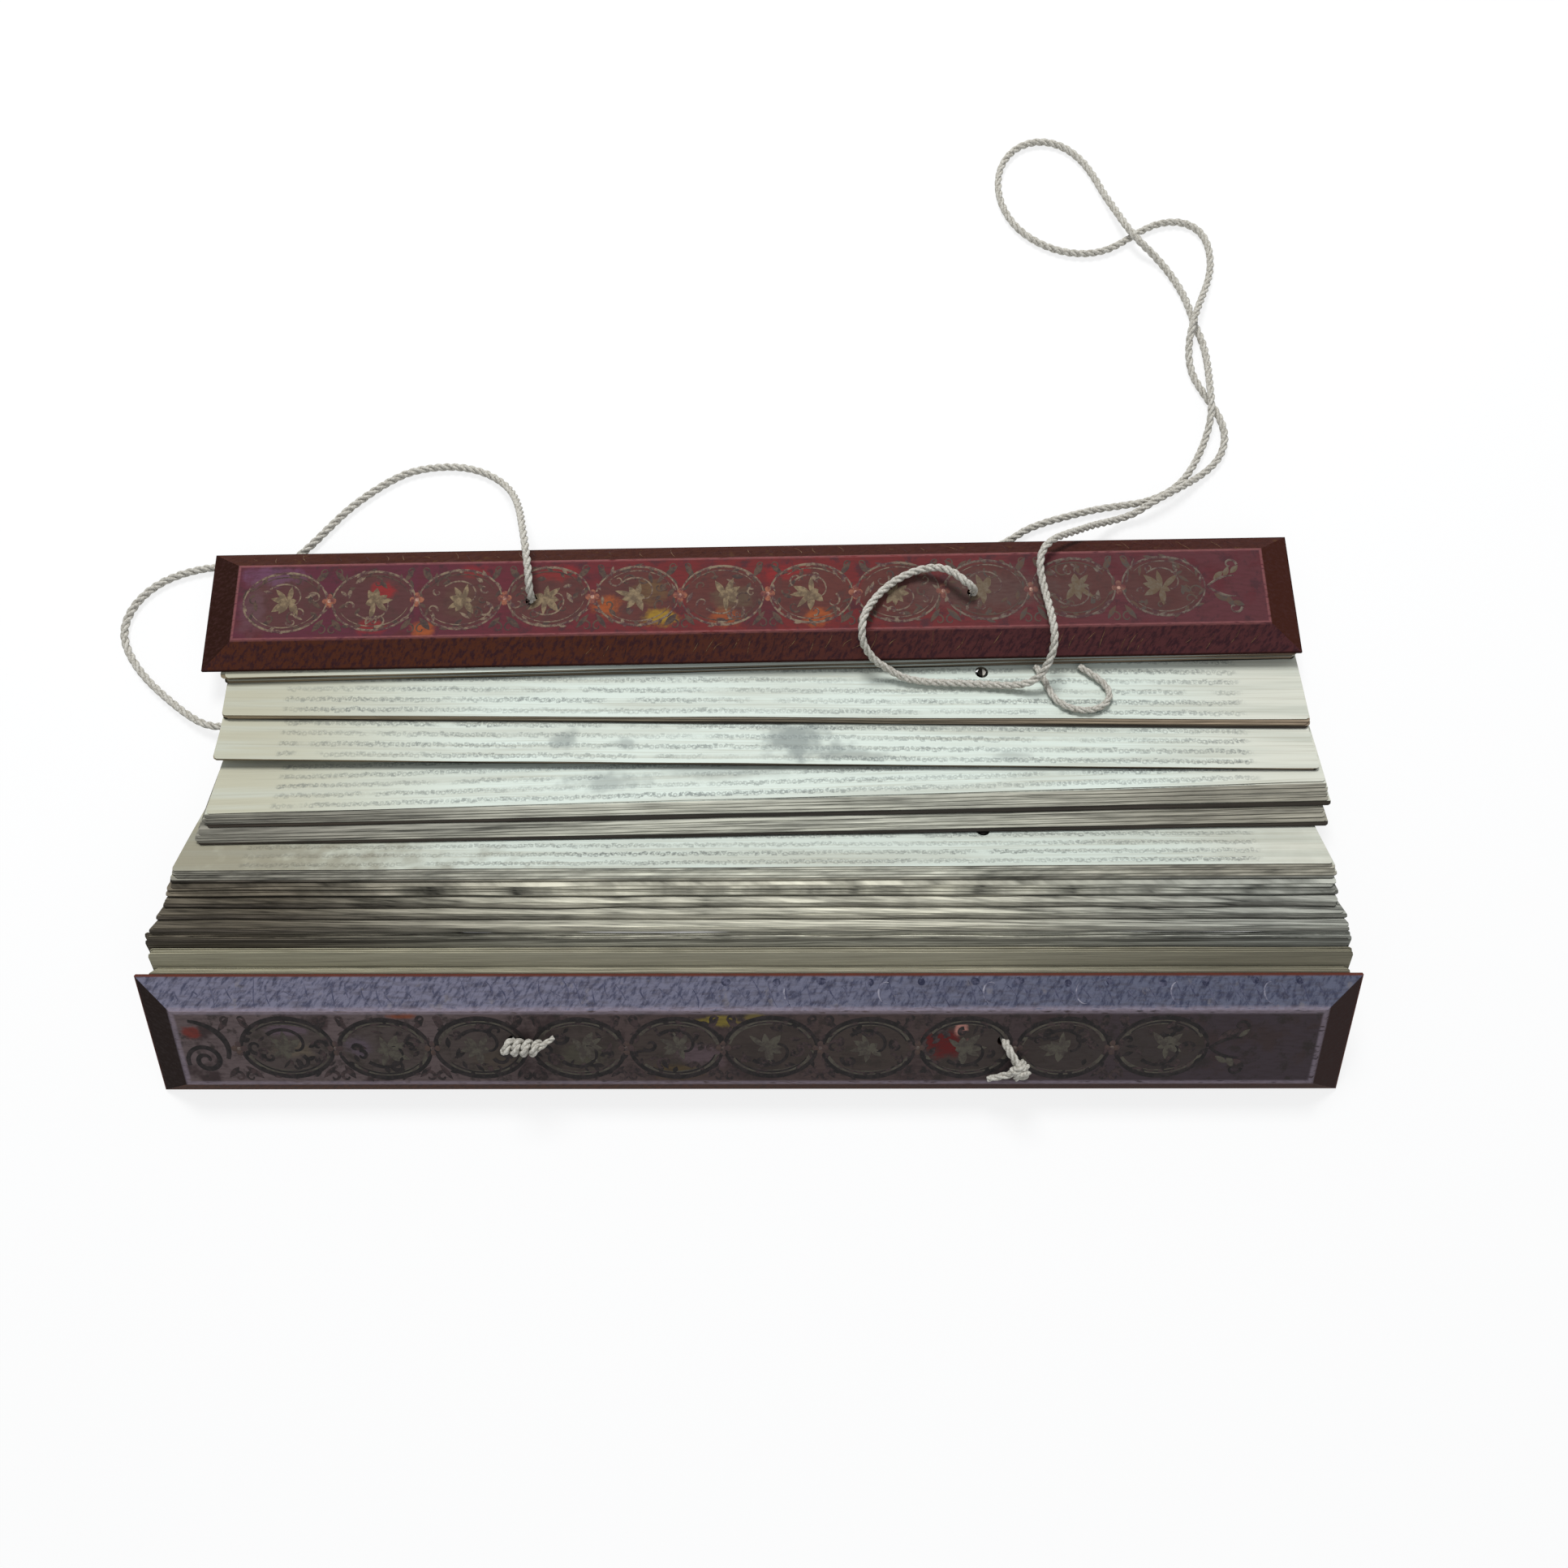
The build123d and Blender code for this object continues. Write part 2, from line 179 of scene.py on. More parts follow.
def piece(name, bm, materials, smooth=False):
    """A finished mesh piece on the root body, from a mesh in millimetres."""
    bmesh.ops.scale(bm, vec=(MM, MM, MM), verts=bm.verts)
    bmesh.ops.recalc_face_normals(bm, faces=bm.faces)
    mesh = bpy.data.meshes.new(name)
    bm.to_mesh(mesh)
    bm.free()
    for material in materials:
        mesh.materials.append(material)
    mesh.polygons.foreach_set("use_smooth", [smooth] * len(mesh.polygons))
    made = bpy.data.objects.new(name, mesh)
    scene.collection.objects.link(made)
    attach(made, "root")
    return made


# Leaf materials

Patch = namedtuple("Patch", "x y half_length half_width depth colour")
first_line = 2.5  # of writing, from a leaf's edge
line_gap = 4.3
letter_pitch = 1.9
text_margin = 22.0


def leaf_face(name, stains_and_shade=()):
    """Pale palm leaf with lines of generic marks; UV runs along and across a leaf, in millimetres."""
    shader = Shader(name, 0.62, 0.2)
    uv = shader.node("ShaderNodeUVMap", uv_map="leaf").outputs[0]
    along, across, _ = shader.node("ShaderNodeSeparateXYZ", [(0, uv)]).outputs
    place, (x, _, _) = shader.place()

    def field(along_scale, across_scale, detail):
        """Noise stretched along the leaf."""
        stretched = shader.combine(shader.times(along, along_scale), shader.times(across, across_scale), leaf)
        return shader.noise(stretched, 1.0, detail)

    def along_line(scale):
        """Noise that runs along one line of writing."""
        return shader.noise(shader.combine(shader.times(along, scale), line, leaf), 1.0)

    leaf = shader.times(shader.attribute("shade"), 40.0)
    grain = field(0.02, 1.6, 4.0)
    cloud = field(0.012, 0.22, 3.0)
    colour = shader.mix(shader.step(x, -80.0, -185.0), srgb(208, 218, 209), srgb(178, 176, 156))
    colour = shader.mix(shader.step(x, 130.0, 190.0), colour, srgb(206, 207, 194))
    colour = shader.mix(shader.step(cloud, 0.42, 0.68, 0.7), colour, srgb(186, 190, 178))
    colour = shader.mix(shader.step(grain, 0.45, 0.75, 0.4), colour, srgb(158, 154, 136))

    row = shader.over(shader.minus(across, first_line - line_gap / 2), line_gap)
    line = shader.math("FLOOR", row)
    cell_place = shader.over(along, letter_pitch)
    cell = shader.math("FLOOR", cell_place)
    letter = shader.node("ShaderNodeTexWhiteNoise", [("Vector", shader.combine(cell, line, leaf))])
    chance = letter.outputs["Value"]
    jump = shader.times(shader.minus(chance, 0.5), 0.8)
    sway = shader.times(shader.minus(along_line(0.09), 0.5), 0.9)
    u = shader.times(shader.minus(shader.math("FRACT", cell_place), 0.5), letter_pitch)
    v = shader.times(shader.minus(shader.math("FRACT", row), 0.5), line_gap)
    v = shader.plus(shader.plus(v, jump), sway)
    radius = shader.plus(shader.times(chance, 0.35), 0.4)
    ring_line = shader.math("ABSOLUTE", shader.minus(shader.length(u, v), radius))
    ring_mark = shader.step(ring_line, 0.38, 0.16, 0.6)
    scratch = shader.step(field(0.95, 1.2, 2.0), 0.46, 0.6)
    scratch = shader.times(scratch, shader.step(shader.math("ABSOLUTE", v), 1.2, 0.7))
    words = shader.noise(shader.combine(shader.times(along, 0.05), shader.plus(line, leaf)), 1.0, 1.0)
    text_end = leaf_length - text_margin
    ink = shader.math("MAXIMUM", ring_mark, scratch)
    ink = shader.times(ink, shader.step(words, 0.28, 0.42))
    ink = shader.times(ink, shader.step(along, text_margin, text_margin + 2.0))
    ink = shader.times(ink, shader.step(along, text_end, text_end - 5.0))
    ink = shader.times(ink, shader.plus(shader.times(along_line(0.016), 1.1), -0.04))
    colour = shader.mix(ink, colour, srgb(84, 90, 90))
    ragged = shader.times(shader.minus(shader.noise(place, 0.16, 3.0), 0.5), 1.6)
    colour = shader.patched(colour, stains_and_shade, x, across, ragged, 0.3)
    shader.bump(grain, 0.25, 0.15)
    return shader.finish(colour)


def leaf_edge(name, left, middle, right, contrast=1.0):
    """Handled edges of many leaves, streaked along them; one colour for each part of the length."""
    shader = Shader(name, 0.85, 0.08)
    _, (x, y, z) = shader.place()
    shade = shader.times(shader.attribute("shade"), 3.0)
    across = shader.plus(y, shader.plus(shader.times(z, 1.3), shade))

    def field(along_scale, across_scale, third, detail=2.0):
        """Noise drawn out along the leaves."""
        stretched = shader.combine(shader.times(x, along_scale), shader.times(across, across_scale), third)
        return shader.noise(stretched, 1.0, detail, 0.6)

    tone = shader.times(field(0.018, 2.3, 0.0, 4.0), 0.5)
    tone = shader.plus(tone, shader.times(field(0.012, 0.3, 5.0), 0.22))
    tone = shader.plus(tone, shader.times(field(0.07, 2.6, 9.0, 3.0), 0.28))
    colour = shader.mix(shader.step(x, -170.0, -30.0), left, middle)
    colour = shader.mix(shader.step(x, 50.0, 170.0), colour, right)
    inputs = [("Value", tone), ("From Min", 0.38), ("From Max", 0.62)]
    inputs += [("To Min", 1.0 - 0.75 * contrast), ("To Max", 1.0 + 0.8 * contrast)]
    level = shader.node("ShaderNodeMapRange", inputs).outputs[0]
    return shader.finish(shader.mix(1.0, colour, level, "MULTIPLY"))


# Leaves

End = namedtuple("End", "x edge down out thickness slide")
# inset is that of the holes from the sheaf's own edge; fan is how far the uppermost leaf's edge stands back
# from the lowest's at the left and right end; rough is how uneven the edges are; tuck is how far the lowest
# leaf stands out; holes are those left open
Sheaf = namedtuple("Sheaf", "left right layers inset fan rough tuck holes")
leaf_thickness = 0.4
leaf_air = 0.05  # above and below a leaf, as a share of its thickness
leaf_steps = 56  # along a leaf
hole_cell = 4.0  # half the width of the square that a hole is cut in
hole_row = 3  # the row of squares that the holes are in
hole_sides = 16
edge_bands = (0.5, 1.6)  # from a leaf's long edges
most_set_back = 0.75  # of a leaf's visible edge, where rough is 1
wave_height, wave_length = 0.35, 55  # of that edge
most_short, most_skew = 1.7, 0.8  # of a leaf's ends
end_trim = 0.4  # of all leaves, against the solid's ends
corner_cuts = {0: 1.3, 1: 0.5, 2: 0.12}  # by rows from a long edge
# The third material, for each sheaf's lowest leaf, is darker: painted shadow where a sheaf lies on the one
# below, with dirt.
FACE, EDGE, SHADOWED_LOW_EDGE = range(3)  # the order of a sheaf's materials


def sheaf_ends(node, leaning):
    """Sections of a sheaf's CAD solid at its left and right end, read from its corners."""
    corners = [vertex.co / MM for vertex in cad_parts[node].data.vertices]
    ends = []
    for pick in (min, max):
        x = pick(corner.x for corner in corners)
        points = [Vector((corner.y, corner.z)) for corner in corners if abs(corner.x - x) < 0.01]
        edge = max(points, key=lambda point: point.y) if leaning else min(points, key=lambda point: point.x)
        hidden = min(points, key=lambda point: abs((point - edge).length - leaf_width))
        down = (hidden - edge).normalized()
        out = Vector((-down.y, down.x))
        reach = max(points, key=lambda point: (point - edge).dot(down + out)) - edge
        ends.append(End(x, edge, down, out, reach.dot(out), reach.dot(down) - leaf_width))
    return ends


def stations():
    """Places along a leaf, in millimetres from its left end, and those of its holes."""
    holes = [leaf_length / 2 - hole_spacing / 2, leaf_length / 2 + hole_spacing / 2]
    plain = [leaf_length * step / leaf_steps for step in range(leaf_steps + 1)]
    kept = [x for x in plain if all(abs(x - hole) > hole_cell + 1.0 for hole in holes)]
    return sorted(kept + [hole + side * hole_cell for hole in holes for side in (-1, 1)]), holes


def between(ends, along):
    """A value at a place along a leaf, from its values at the left and right end."""
    return ends[0] + (ends[1] - ends[0]) * along / leaf_length


def in_sheaf(sheaf, along, across, through):
    """A point from a place along, across and through a sheaf; through runs from 0 to 1."""
    sides = []
    for end in (sheaf.left, sheaf.right):
        sides.append(end.edge + end.down * across + end.out * (through * end.thickness))
    section = sides[0].lerp(sides[1], min(1.0, max(0.0, along / leaf_length)))
    return (sheaf.left.x + along, section.x, section.y)


def add_leaf(bm, sheaf, layer, draw):
    """One leaf of a sheaf: a flat strip with its open holes, made thick and then laid in its place."""
    xs, holes = stations()
    low, high = (layer + leaf_air) / sheaf.layers, (layer + 1 - leaf_air) / sheaf.layers
    slides = (sheaf.left.slide, sheaf.right.slide)
    backs = [slide + back for slide, back in zip(slides, sheaf.fan)]
    shade = draw.random()
    set_back = draw.random() ** 1.5 * most_set_back * sheaf.rough
    wave_seed = draw.random() * 100
    short = [draw.random() ** 2 * most_short, draw.random() ** 2 * most_short]
    skew = [draw.uniform(-most_skew, most_skew), draw.uniform(-most_skew, most_skew)]

    def own_edge(along):
        """Where the leaf's visible edge lies across the sheaf."""
        ripple = noise.noise(Vector((along * sheaf.rough / wave_length, wave_seed, 0.0)))
        back = between(backs, along) * layer / max(1, sheaf.layers - 1)
        return back + max(0.0, set_back + ripple * wave_height * sheaf.rough) - (0.0 if layer else sheaf.tuck)

    def hole_line(along):
        return sheaf.inset + between(slides, along) / 2

    def rows(along):
        """Places across the leaf, from its visible edge to its hidden edge."""
        first, hole = own_edge(along), hole_line(along)
        last = leaf_width + between(slides, along) * layer / sheaf.layers
        near = [first, *(first + band for band in edge_bands)]
        far = [*(last - band for band in reversed(edge_bands)), last]
        return [*near, hole - hole_cell, hole + hole_cell, *far]

    table = [rows(along) for along in xs]
    last_column, last_row = len(xs) - 1, len(table[0]) - 1
    leaf = bmesh.new()
    uv_layer = leaf.loops.layers.uv.new("leaf")
    shade_layer = leaf.verts.layers.float.new("shade")
    strip = bmesh.ops.create_grid(leaf, x_segments=last_column, y_segments=last_row, size=1.0)["verts"]
    grid = {}
    for vertex in strip:
        column = round((vertex.co.x + 1) / 2 * last_column)
        row = round((vertex.co.y + 1) / 2 * last_row)
        along, across = xs[column], table[column][row]
        if column in (0, last_column):
            side = 0 if column == 0 else 1
            cut = corner_cuts.get(min(row, last_row - row), 0.0) + end_trim
            cut += short[side] + skew[side] * (across / leaf_width - 0.5)
            along += -cut if side else cut
        vertex.co = (along, across, low)
        grid[column, row] = vertex
    open_holes = [holes[number] for number in sheaf.holes]
    squares = []
    for along in open_holes:
        column = xs.index(along - hole_cell)
        corners = [(column + right, hole_row + up) for right, up in ((0, 0), (1, 0), (1, 1), (0, 1))]
        squares.append(leaf.faces.get([grid[corner] for corner in corners]))
    bmesh.ops.inset_individual(leaf, faces=squares, thickness=hole_cell / 4)
    outlines = [edge for square in squares for edge in square.edges]
    bmesh.ops.subdivide_edges(leaf, edges=outlines, cuts=hole_sides // 4 - 1)
    for along, square in zip(open_holes, squares):
        middle = Vector((along, hole_line(along), low))
        for vertex in square.verts:
            spoke = vertex.co - middle
            turn = round(atan2(spoke.y, spoke.x) / (2 * pi) * hole_sides) / hole_sides * 2 * pi
            vertex.co = middle + Vector((cos(turn), sin(turn), 0.0)) * hole_radius
    bmesh.ops.delete(leaf, geom=squares, context="FACES_ONLY")
    sheet = leaf.verts[:] + leaf.edges[:] + leaf.faces[:]
    raised = bmesh.ops.extrude_face_region(leaf, geom=sheet, use_keep_orig=True)["geom"]
    lifted = [part for part in raised if isinstance(part, bmesh.types.BMVert)]
    bmesh.ops.translate(leaf, vec=(0.0, 0.0, high - low), verts=lifted)

    flat = {vertex: (vertex.co.x, vertex.co.y - own_edge(vertex.co.x)) for vertex in leaf.verts}
    for face in leaf.faces:
        x, y, through = face.calc_center_median()
        wall = abs(through - (low + high) / 2) < (high - low) / 4
        by_hole = abs(y - hole_line(x)) < hole_cell and any(abs(x - hole) < hole_cell for hole in holes)
        rimmed = layer < sheaf.layers - 1 and y - own_edge(x) < edge_bands[-1]
        # The lowest leaf's walls and edge bands take the sheaf's darkest material: painted shadow under the
        # sheaf, with dirt.
        if wall and by_hole:
            face.material_index = EDGE
        elif wall or rimmed:
            face.material_index = EDGE if layer else SHADOWED_LOW_EDGE
        else:
            face.material_index = FACE
        for loop in face.loops:
            loop[uv_layer].uv = flat[loop.vert]
    for vertex in leaf.verts:
        vertex.co = in_sheaf(sheaf, *vertex.co)
        vertex[shade_layer] = shade
    mesh = bpy.data.meshes.new("leaf")
    leaf.to_mesh(mesh)
    leaf.free()
    bm.from_mesh(mesh)
    bpy.data.meshes.remove(mesh)


fans = {"open_leaves_2": (0.4, 2.4)}
rough_sheaves = ("leaning_leaves_3", "crest", "middle_leaves_1")


def leaf_sheaf(node, seed, face_material, edge_material, low_shadow_and_dirt_material):
    """All the leaves of one sheaf, in place of its CAD solid."""
    left, right = sheaf_ends(node, node.startswith("leaning"))
    layers = max(2, round((left.thickness + right.thickness) / 2 / leaf_thickness))
    turned = node.startswith(("open", "rear"))
    sheaf = Sheaf(
        left,
        right,
        layers,
        inset=leaf_hole_inset if turned else leaf_width - leaf_hole_inset,
        fan=fans.get(node, (0.0, 0.0)),
        rough=2.0 if node.startswith(rough_sheaves) else 1.0,
        tuck=1.6 if node == "crest_leaves_1" else 0.0,
        holes=(1,) if node == "middle_leaves_4" else (0, 1),
    )
    draw = random.Random(seed)
    bm = bmesh.new()
    bm.loops.layers.uv.new("leaf")
    bm.verts.layers.float.new("shade")
    for layer in range(layers):
        add_leaf(bm, sheaf, layer, draw)
    made = piece(node + "_fine", bm, [face_material, edge_material, low_shadow_and_dirt_material])
    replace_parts(made, node)


plain_leaf = leaf_face("leaf_written")
grey_stain, warm_shade_and_stain = srgb(120, 128, 126), srgb(116, 110, 92)
open_leaf = leaf_face("leaf_stained", [
    Patch(17.0, 10.0, 17.0, 10.0, 0.75, grey_stain),
    Patch(34.0, 4.0, 18.0, 3.0, 0.5, grey_stain),
    Patch(-67.0, 9.0, 6.0, 5.0, 0.6, grey_stain),
    Patch(-46.0, 8.0, 6.0, 3.5, 0.5, grey_stain),
    Patch(93.0, 4.0, 10.0, 3.0, 0.35, grey_stain),
])
middle_leaf = leaf_face("leaf_smudged", [
    Patch(-52.0, 9.0, 16.0, 6.0, 0.5, grey_stain),
    Patch(-10.0, 12.0, 25.0, 4.0, 0.3, grey_stain),
])
# Warm grey patches darken this leaf towards its left end: partly painted shade, partly stain.
shaded_leaf = leaf_face("leaf_shaded", [
    Patch(-215.0, 4.0, 130.0, 40.0, 0.6, warm_shade_and_stain),
    Patch(0.0, 4.0, 400.0, 40.0, 0.12, warm_shade_and_stain),
])
leaning_edge = leaf_edge(
    "leaf_edge_leaning", srgb(152, 148, 127), srgb(156, 152, 133), srgb(128, 124, 107), 0.45
)
crest_edge = leaf_edge("leaf_edge_crest", srgb(88, 82, 71), srgb(170, 168, 153), srgb(138, 139, 131), 1.2)
# Darker edge for the crest sheaves' lowest leaf: painted shadow where a sheaf lies on the one below, with
# dirt.
crest_low_shadow_and_dirt = leaf_edge("leaf_edge_crest_low", srgb(64, 59, 52), srgb(112, 110, 99), srgb(92, 92, 86), 1.25)
middle_edge = leaf_edge("leaf_edge_middle", srgb(112, 110, 101), srgb(160, 160, 148), srgb(136, 133, 121))
# Near-black edge for the other sheaves' lowest leaf: painted shadow where a sheaf lies on the one below, with
# dirt.
lowest_edge_shadow_and_dirt = leaf_edge("leaf_edge_lowest_shadow_and_dirt", srgb(50, 45, 39), srgb(44, 41, 37), srgb(48, 44, 39), 0.5)
pale_edge = leaf_edge("leaf_edge_pale", srgb(128, 116, 94), srgb(108, 100, 86), srgb(136, 122, 104), 0.6)

crest_look = (crest_edge, crest_edge, crest_low_shadow_and_dirt)
leaning_look = (leaning_edge, leaning_edge, leaning_edge)
sheaf_looks = {
    "leaning_leaves_1": leaning_look,
    "leaning_leaves_2": leaning_look,
    "leaning_leaves_3": crest_look,
    "crest_leaves_1": crest_look,
    "crest_leaves_2": crest_look,
    "crest_leaves_3": crest_look,
    "middle_leaves_1": crest_look,
    "middle_leaves_2": (shaded_leaf, middle_edge, crest_low_shadow_and_dirt),
    "middle_leaves_3": (middle_edge, middle_edge, lowest_edge_shadow_and_dirt),
    "middle_leaves_4": (middle_leaf, middle_edge, lowest_edge_shadow_and_dirt),
    "open_leaves_1": (open_leaf, pale_edge, lowest_edge_shadow_and_dirt),
    "open_leaves_2": (plain_leaf, pale_edge, lowest_edge_shadow_and_dirt),
    "rear_leaves_1": (plain_leaf, pale_edge, lowest_edge_shadow_and_dirt),
    "rear_leaves_2": (plain_leaf, pale_edge, lowest_edge_shadow_and_dirt),
}
for seed, (node, looks) in enumerate(sheaf_looks.items()):
    leaf_sheaf(node, seed, *looks)


# Cords

cotton = Shader("cotton_rope", 0.9, 0.15)
cotton_place, _ = cotton.place()
fuzz = cotton.noise(cotton_place, 1.3, 3.0)
cotton_material = cotton.finish(
    cotton.mix(cotton.step(fuzz, 0.35, 0.75), srgb(198, 195, 186), srgb(148, 143, 132))
)


def spline_points(name, route):
    """Points along the smooth line of a route, in millimetres."""
    curve = bpy.data.curves.new(name, "CURVE")
    curve.dimensions = "3D"
    curve.resolution_u = 12
    spline = curve.splines.new("NURBS")
    spline.points.add(len(route) - 1)
    for point, place in zip(spline.points, route):
        point.co = (*(value * MM for value in place), 1.0)
    spline.order_u = 3
    spline.use_endpoint_u = True
    holder = bpy.data.objects.new(name, curve)
    line = bpy.data.meshes.new_from_object(holder)
    points = [vertex.co / MM for vertex in line.vertices]
    bpy.data.meshes.remove(line)
    bpy.data.objects.remove(holder)
    bpy.data.curves.remove(curve)
    return points


cord_pitch = 10.0
slack_width = 2.5
strands = 3
strand_sides = 8
strand_share = 0.25  # radius of a strand, and its distance from the cord's line, for a cord of width 1


def add_rope(bm, points, width, pitch, taper=0.0):
    """Strands laid round a line; taper is how much thinner the strands get at the far end."""
    tangents = [
        (points[min(i + 1, len(points) - 1)] - points[max(i - 1, 0)]).normalized() for i in range(len(points))
    ]
    side = tangents[0].orthogonal().normalized()
    sides_along, travelled, run = [], [], 0.0
    for index, tangent in enumerate(tangents):
        side = (side - tangent * side.dot(tangent)).normalized()
        sides_along.append(side)
        if index:
            run += (points[index] - points[index - 1]).length
        travelled.append(run)
    for strand in range(strands):
        rings = []
        for point, tangent, side, reach in zip(points, tangents, sides_along, travelled):
            size = 1.0 - taper * reach / run
            across = tangent.cross(side)
            turn = 2 * pi * (reach / pitch + strand / strands)
            radius = width * strand_share * size
            centre = point + (side * cos(turn) + across * sin(turn)) * radius
            ring = []
            for step in range(strand_sides):
                angle = 2 * pi * step / strand_sides
                spoke = side * cos(angle) + across * sin(angle)
                ring.append(bm.verts.new(centre + spoke * radius))
            rings.append(ring)
        for first, second in zip(rings, rings[1:]):
            for step in range(strand_sides):
                after = (step + 1) % strand_sides
                bm.faces.new((first[step], first[after], second[after], second[step]))
        bm.faces.new(rings[0])
        bm.faces.new(rings[-1])


def free_cord(node, route, width=cord):
    """A laid rope along its route, in place of the CAD tube."""
    points = spline_points(node + "_line", route)
    bm = bmesh.new()
    add_rope(bm, points, width, cord_pitch)
    made = piece(node + "_rope", bm, [cotton_material], smooth=True)
    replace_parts(made, node)


left_route = [
    (-79.1, 76.0, 15.2), (-79.1, 76.1, 18.0), (-79.1, 77.2, 21.5), (-79.1, 79.8, 24.0),
    (-79.2, 84.1, 25.2), (-80.1, 90.3, 24.8), (-81.5, 97.5, 22.8), (-83.5, 105.7, 19.2),
    (-85.8, 113.8, 13.8), (-88.8, 121.5, 8.2), (-92.6, 128.0, 4.0), (-97.5, 132.9, 2.0),
    (-103.9, 136.5, 1.6), (-112.2, 138.7, 1.6), (-122.2, 138.7, 1.6), (-131.9, 136.9, 1.6),
    (-140.0, 132.7, 1.6), (-147.6, 127.3, 1.6), (-154.7, 121.4, 1.6), (-161.3, 114.1, 1.6),
    (-167.4, 107.1, 1.6), (-173.8, 100.8, 1.6), (-182.6, 97.9, 1.6), (-193.0, 98.3, 1.6),
    (-204.0, 98.6, 1.6), (-213.4, 96.8, 1.6), (-221.7, 93.7, 1.6), (-228.3, 89.0, 1.6),
    (-233.1, 82.9, 1.6), (-235.6, 75.4, 1.6), (-234.5, 68.0, 1.6), (-230.0, 60.2, 1.6),
    (-224.0, 53.2, 1.8), (-216.1, 46.2, 2.2), (-207.9, 39.8, 2.8), (-200.6, 35.5, 3.6),
    (-193.6, 34.3, 4.2), (-186.0, 34.3, 4.3),
]
right_route = [
    (80.9, 76.0, 14.8), (80.9, 76.1, 17.6), (80.6, 76.1, 20.8), (79.0, 76.5, 23.4), (76.7, 77.8, 24.6),
    (74.4, 80.0, 24.9), (70.6, 83.1, 23.6), (66.2, 84.7, 21.6), (60.5, 84.3, 20.0), (54.0, 81.7, 19.4),
    (47.9, 77.0, 19.9), (43.2, 71.1, 21.6), (40.5, 66.2, 23.0), (39.7, 62.1, 22.9), (39.6, 58.7, 21.3),
    (40.4, 56.3, 19.2), (42.2, 54.1, 16.6), (45.0, 51.7, 13.9), (49.3, 49.9, 11.4), (54.7, 46.9, 9.5),
    (63.2, 45.3, 9.0), (74.1, 44.8, 9.0), (85.8, 44.0, 9.1), (94.1, 43.1, 9.8), (99.7, 43.3, 11.7),
    (103.2, 44.8, 13.8), (105.5, 47.7, 16.4), (107.1, 51.0, 19.2), (107.8, 54.6, 21.8),
    (107.8, 59.0, 23.2), (107.4, 64.3, 22.9), (106.8, 70.9, 21.0), (105.8, 77.6, 20.0),
    (104.9, 83.0, 20.6), (105.0, 87.3, 21.6), (106.4, 91.3, 21.8), (110.1, 95.0, 21.0),
    (115.6, 98.6, 17.2), (121.6, 101.9, 13.4), (128.7, 106.4, 8.0), (136.1, 109.7, 4.0),
    (142.3, 111.9, 2.6), (147.1, 113.5, 3.6), (151.2, 115.8, 4.9), (156.0, 118.5, 5.1),
    (161.0, 121.2, 5.0), (166.9, 124.6, 3.8), (172.9, 128.7, 2.0), (178.2, 132.8, 1.6),
    (182.5, 137.7, 1.6), (185.1, 144.6, 1.6), (184.6, 152.0, 1.6), (181.4, 159.6, 1.6),
    (177.8, 166.3, 1.6), (174.8, 173.2, 1.6), (174.0, 180.7, 2.2), (174.3, 186.8, 4.0),
    (175.5, 192.2, 5.3), (178.2, 199.6, 5.3), (182.2, 208.1, 3.2), (185.8, 216.3, 1.6),
    (187.4, 223.4, 1.6), (187.2, 232.5, 1.6), (184.1, 239.5, 1.6), (177.1, 243.5, 1.6),
    (168.1, 242.9, 1.6), (160.2, 239.2, 1.6), (152.5, 234.0, 1.6), (144.2, 229.8, 1.6),
    (134.2, 228.8, 1.6), (124.2, 231.2, 1.6), (115.0, 236.6, 1.6), (108.2, 243.9, 1.6),
    (104.1, 253.4, 1.6), (103.2, 263.4, 1.6), (105.8, 273.3, 1.6), (112.6, 280.9, 1.6),
    (122.0, 283.7, 1.6), (131.2, 281.1, 1.6), (138.4, 274.5, 1.6), (143.2, 266.1, 1.6),
    (146.6, 256.9, 2.0), (150.1, 248.0, 3.6), (153.7, 238.2, 5.4), (158.4, 231.1, 5.4),
    (164.7, 226.7, 2.6), (170.0, 219.8, 1.6), (173.8, 212.0, 1.6), (176.2, 204.9, 1.6),
    (178.1, 195.3, 1.6), (180.5, 187.5, 1.6), (181.2, 179.6, 2.0), (180.6, 172.0, 3.8),
    (179.9, 165.4, 5.3), (179.8, 157.9, 5.3), (179.3, 151.9, 3.6), (177.5, 145.6, 1.9),
    (174.8, 139.6, 1.6), (171.3, 133.4, 1.6), (167.0, 127.5, 1.6), (160.6, 122.4, 1.6),
    (152.2, 118.9, 1.6), (143.0, 117.5, 1.6), (132.9, 116.2, 1.6), (122.8, 113.8, 1.6),
    (113.3, 111.3, 1.6), (105.0, 108.2, 1.6), (99.7, 104.5, 1.6), (92.0, 100.7, 1.6),
]
slack_route = [
    (103.6, 51.3, 7.4), (105.2, 48.6, 8.0), (106.5, 45.0, 8.8), (107.7, 41.0, 9.6), (109.5, 37.2, 10.4),
    (113.4, 34.4, 11.0), (117.8, 33.0, 11.3), (122.4, 33.0, 11.3), (126.8, 34.8, 10.9),
    (129.4, 38.3, 10.1), (128.7, 42.3, 9.3), (126.0, 45.6, 8.6), (122.6, 48.6, 7.9), (119.6, 51.0, 7.4),
]
free_cord("left_cord", left_route)
free_cord("right_cord", right_route)
free_cord("right_slack_loop", slack_route, slack_width)

# Boards

Board = namedtuple("Board", "node origin x y z")


def board_frame(node, x, z):
    """A board's own axes, with the origin under the middle of its near edge, on its inner face."""
    y = z.cross(x)
    corners = [vertex.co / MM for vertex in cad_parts[node].data.vertices]
    spans = [[corner.dot(axis) for corner in corners] for axis in (x, y, z)]
    middle = (min(spans[0]) + max(spans[0])) / 2
    return Board(node, x * middle + y * min(spans[1]) + z * min(spans[2]), x, y, z)


